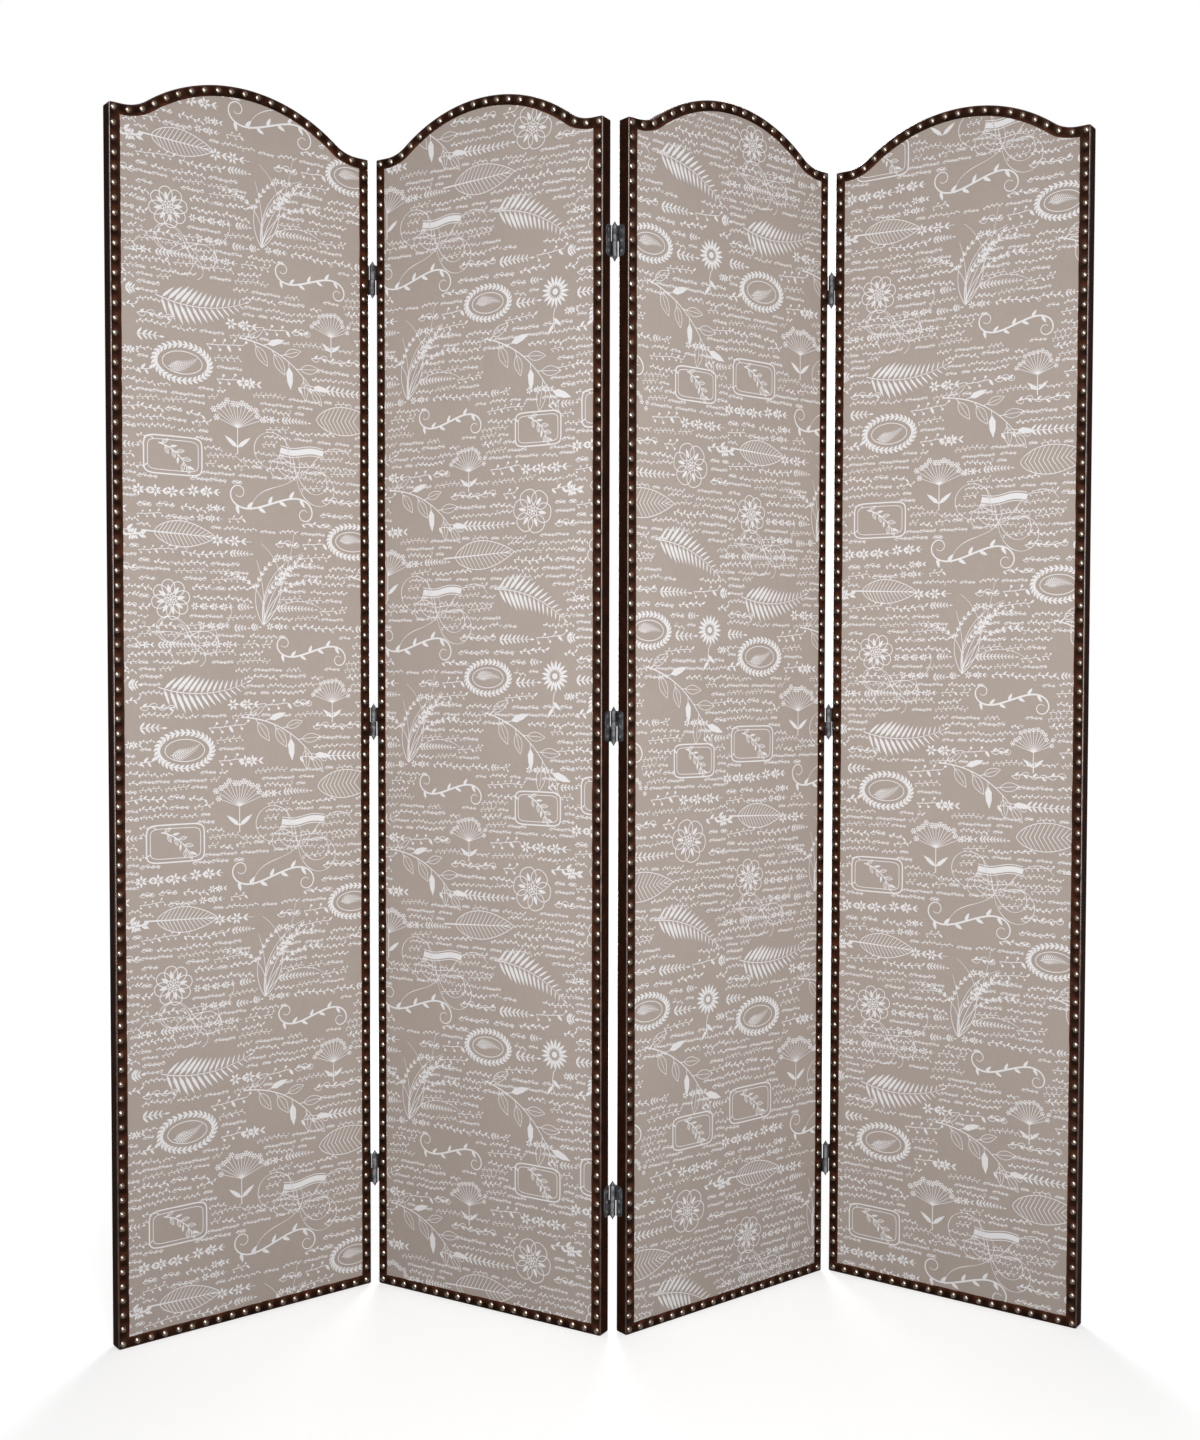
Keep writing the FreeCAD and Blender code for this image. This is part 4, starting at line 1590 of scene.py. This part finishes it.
class SCREEN_OT_set_stage(bpy.types.Operator):
    """Sets the floor, the lamps, the surroundings and the camera"""

    bl_idname = "folding_screen.set_stage"
    bl_label = "Set Stage"

    def execute(self, context):
        studio = context.scene.screen_studio
        self.floor(studio)
        self.surroundings(context, studio)
        for face in faces:
            key = self.lamp(studio, face, studio.key_place, studio.key_size, studio.key_power)
            key.name = f"{face}_key"
            key.data.spread = studio.key_spread
            key.visible_glossy = False
            glint = self.lamp(studio, face, studio.glint_place, studio.glint_size, studio.glint_power)
            glint.name = f"{face}_glint"
            glint.visible_diffuse = False
            self.shine_on(glint, ("nail_heads", "leather_binding"))
        self.camera(context, studio)
        context.scene.view_settings.view_transform = "Standard"
        return {"FINISHED"}

    @staticmethod
    def seen(tree):
        """1 for what the camera sees, directly, in a reflection or through glass."""
        path = put(tree, "ShaderNodeLightPath")
        shiny = maths(tree, "MAXIMUM", path.outputs["Is Glossy Ray"], path.outputs["Is Transmission Ray"])
        return maths(tree, "MAXIMUM", path.outputs["Is Camera Ray"], shiny)

    def floor(self, studio):
        """A pale floor that glows a little to the eye, the more so the farther it is from the screen."""
        begin()
        bpy.ops.mesh.primitive_plane_add(size=studio.floor_size)
        floor = bpy.context.object
        floor.name = "floor"
        material = bpy.data.materials.new("pale_floor")
        material.use_nodes = True
        tree = material.node_tree
        tree.nodes.clear()
        seen = self.seen(tree)
        grey = blended(tree, seen, studio.floor_bounce, studio.floor_paint)
        paint = put(tree, "ShaderNodeBsdfDiffuse", {"Color": grey})
        away = put(tree, "ShaderNodeVectorMath", {0: own_place(tree)}, operation="LENGTH").outputs["Value"]
        far = ramp(tree, away, studio.near_reach, studio.far_reach)
        rise = studio.far_lift - studio.near_lift
        glow = maths(tree, "MULTIPLY_ADD", far, rise, studio.near_lift)
        lift = put(tree, "ShaderNodeEmission", {"Strength": maths(tree, "MULTIPLY", seen, glow)})
        both = put(tree, "ShaderNodeAddShader", {0: paint.outputs[0], 1: lift.outputs[0]})
        put(tree, "ShaderNodeOutputMaterial", {"Surface": both.outputs[0]})
        floor.data.materials.append(material)

    def surroundings(self, context, studio):
        """White all round to the eye, and a weaker even light on the screen."""
        world = bpy.data.worlds.new("studio")
        world.use_nodes = True
        tree = world.node_tree
        tree.nodes.clear()
        strength = blended(tree, self.seen(tree), studio.fill, 1.0)
        light = put(tree, "ShaderNodeBackground", {"Color": (1, 1, 1, 1), "Strength": strength})
        put(tree, "ShaderNodeOutputWorld", {"Surface": light.outputs[0]})
        context.scene.world = world

    @staticmethod
    def lamp(studio, face, front_place, size, power):
        """A rectangular lamp that looks at one face of the screen and leans about its view."""
        across, depth, up = front_place
        place = Vector((across, -sign(face) * depth, up))
        begin()
        bpy.ops.object.light_add(type="AREA", location=place)
        lamp = bpy.context.object
        lamp.data.shape = "RECTANGLE"
        lamp.data.size, lamp.data.size_y = size
        lamp.data.energy = power
        lamp.visible_camera = False
        way = Vector(studio.lamp_aim) - place
        aim = way.to_track_quat("-Z", "Y").to_matrix().to_4x4()
        lamp.matrix_world = Matrix.Translation(place) @ aim @ Matrix.Rotation(studio.lamp_turn, 4, "Z")
        return lamp

    @staticmethod
    def shine_on(lamp, endings):
        """Lets a lamp light only the pieces whose names end in one of these."""
        lit = bpy.data.collections.new(f"{lamp.name}_pieces")
        for piece in bpy.data.objects:
            if piece.name.endswith(endings):
                lit.objects.link(piece)
        lamp.light_linking.receiver_collection = lit

    @staticmethod
    def camera(context, studio):
        """The camera in front of the screen."""
        begin()
        bpy.ops.object.camera_add()
        camera = bpy.context.object
        camera.data.sensor_width = studio.sensor
        camera.data.lens = studio.lens
        camera.data.shift_x = studio.shift_x
        camera.data.shift_y = studio.shift_y
        turn = Matrix.Rotation(studio.camera_heading, 4, "Z")
        tilt = Matrix.Rotation(math.pi / 2 + studio.camera_tilt, 4, "X")
        roll = Matrix.Rotation(studio.camera_roll, 4, "Z")
        camera.matrix_world = Matrix.Translation(studio.camera_place) @ turn @ tilt @ roll
        context.scene.camera = camera


class SCREEN_PT_sidebar(bpy.types.Panel):
    """Lists the steps that dress the screen, and the settings behind them"""

    bl_idname = "SCREEN_PT_sidebar"
    bl_label = "Folding Screen"
    bl_space_type = "VIEW_3D"
    bl_region_type = "UI"
    bl_category = "Screen"

    def draw(self, context):
        for operator in operators:
            self.layout.operator(operator.bl_idname)
        for name, group in settings.items():
            box = self.layout.box()
            for key in group.__annotations__:
                box.prop(getattr(context.scene, name), key)


operators = (
    SCREEN_OT_mix_finishes,
    SCREEN_OT_stretch_cloth,
    SCREEN_OT_print_cloth,
    SCREEN_OT_bind_edges,
    SCREEN_OT_drive_nails,
    SCREEN_OT_hang_hinges,
    SCREEN_OT_set_stage,
)
settings = {
    "screen_sizes": ScreenSizes,
    "screen_colours": ScreenColours,
    "print_layout": PrintLayout,
    "screen_studio": StudioSettings,
}


def register():
    for group in (*settings.values(), *operators, SCREEN_PT_sidebar):
        bpy.utils.register_class(group)
    for name, group in settings.items():
        setattr(bpy.types.Scene, name, PointerProperty(type=group))


def unregister():
    for name in settings:
        delattr(bpy.types.Scene, name)
    for group in (SCREEN_PT_sidebar, *reversed(operators), *settings.values()):
        bpy.utils.unregister_class(group)


def main():
    register()
    bpy.ops.folding_screen.mix_finishes()
    bpy.ops.folding_screen.stretch_cloth()
    bpy.ops.folding_screen.print_cloth()
    bpy.ops.folding_screen.bind_edges()
    bpy.ops.folding_screen.drive_nails()
    bpy.ops.folding_screen.hang_hinges()
    bpy.ops.folding_screen.set_stage()


if __name__ == "__main__":
    main()
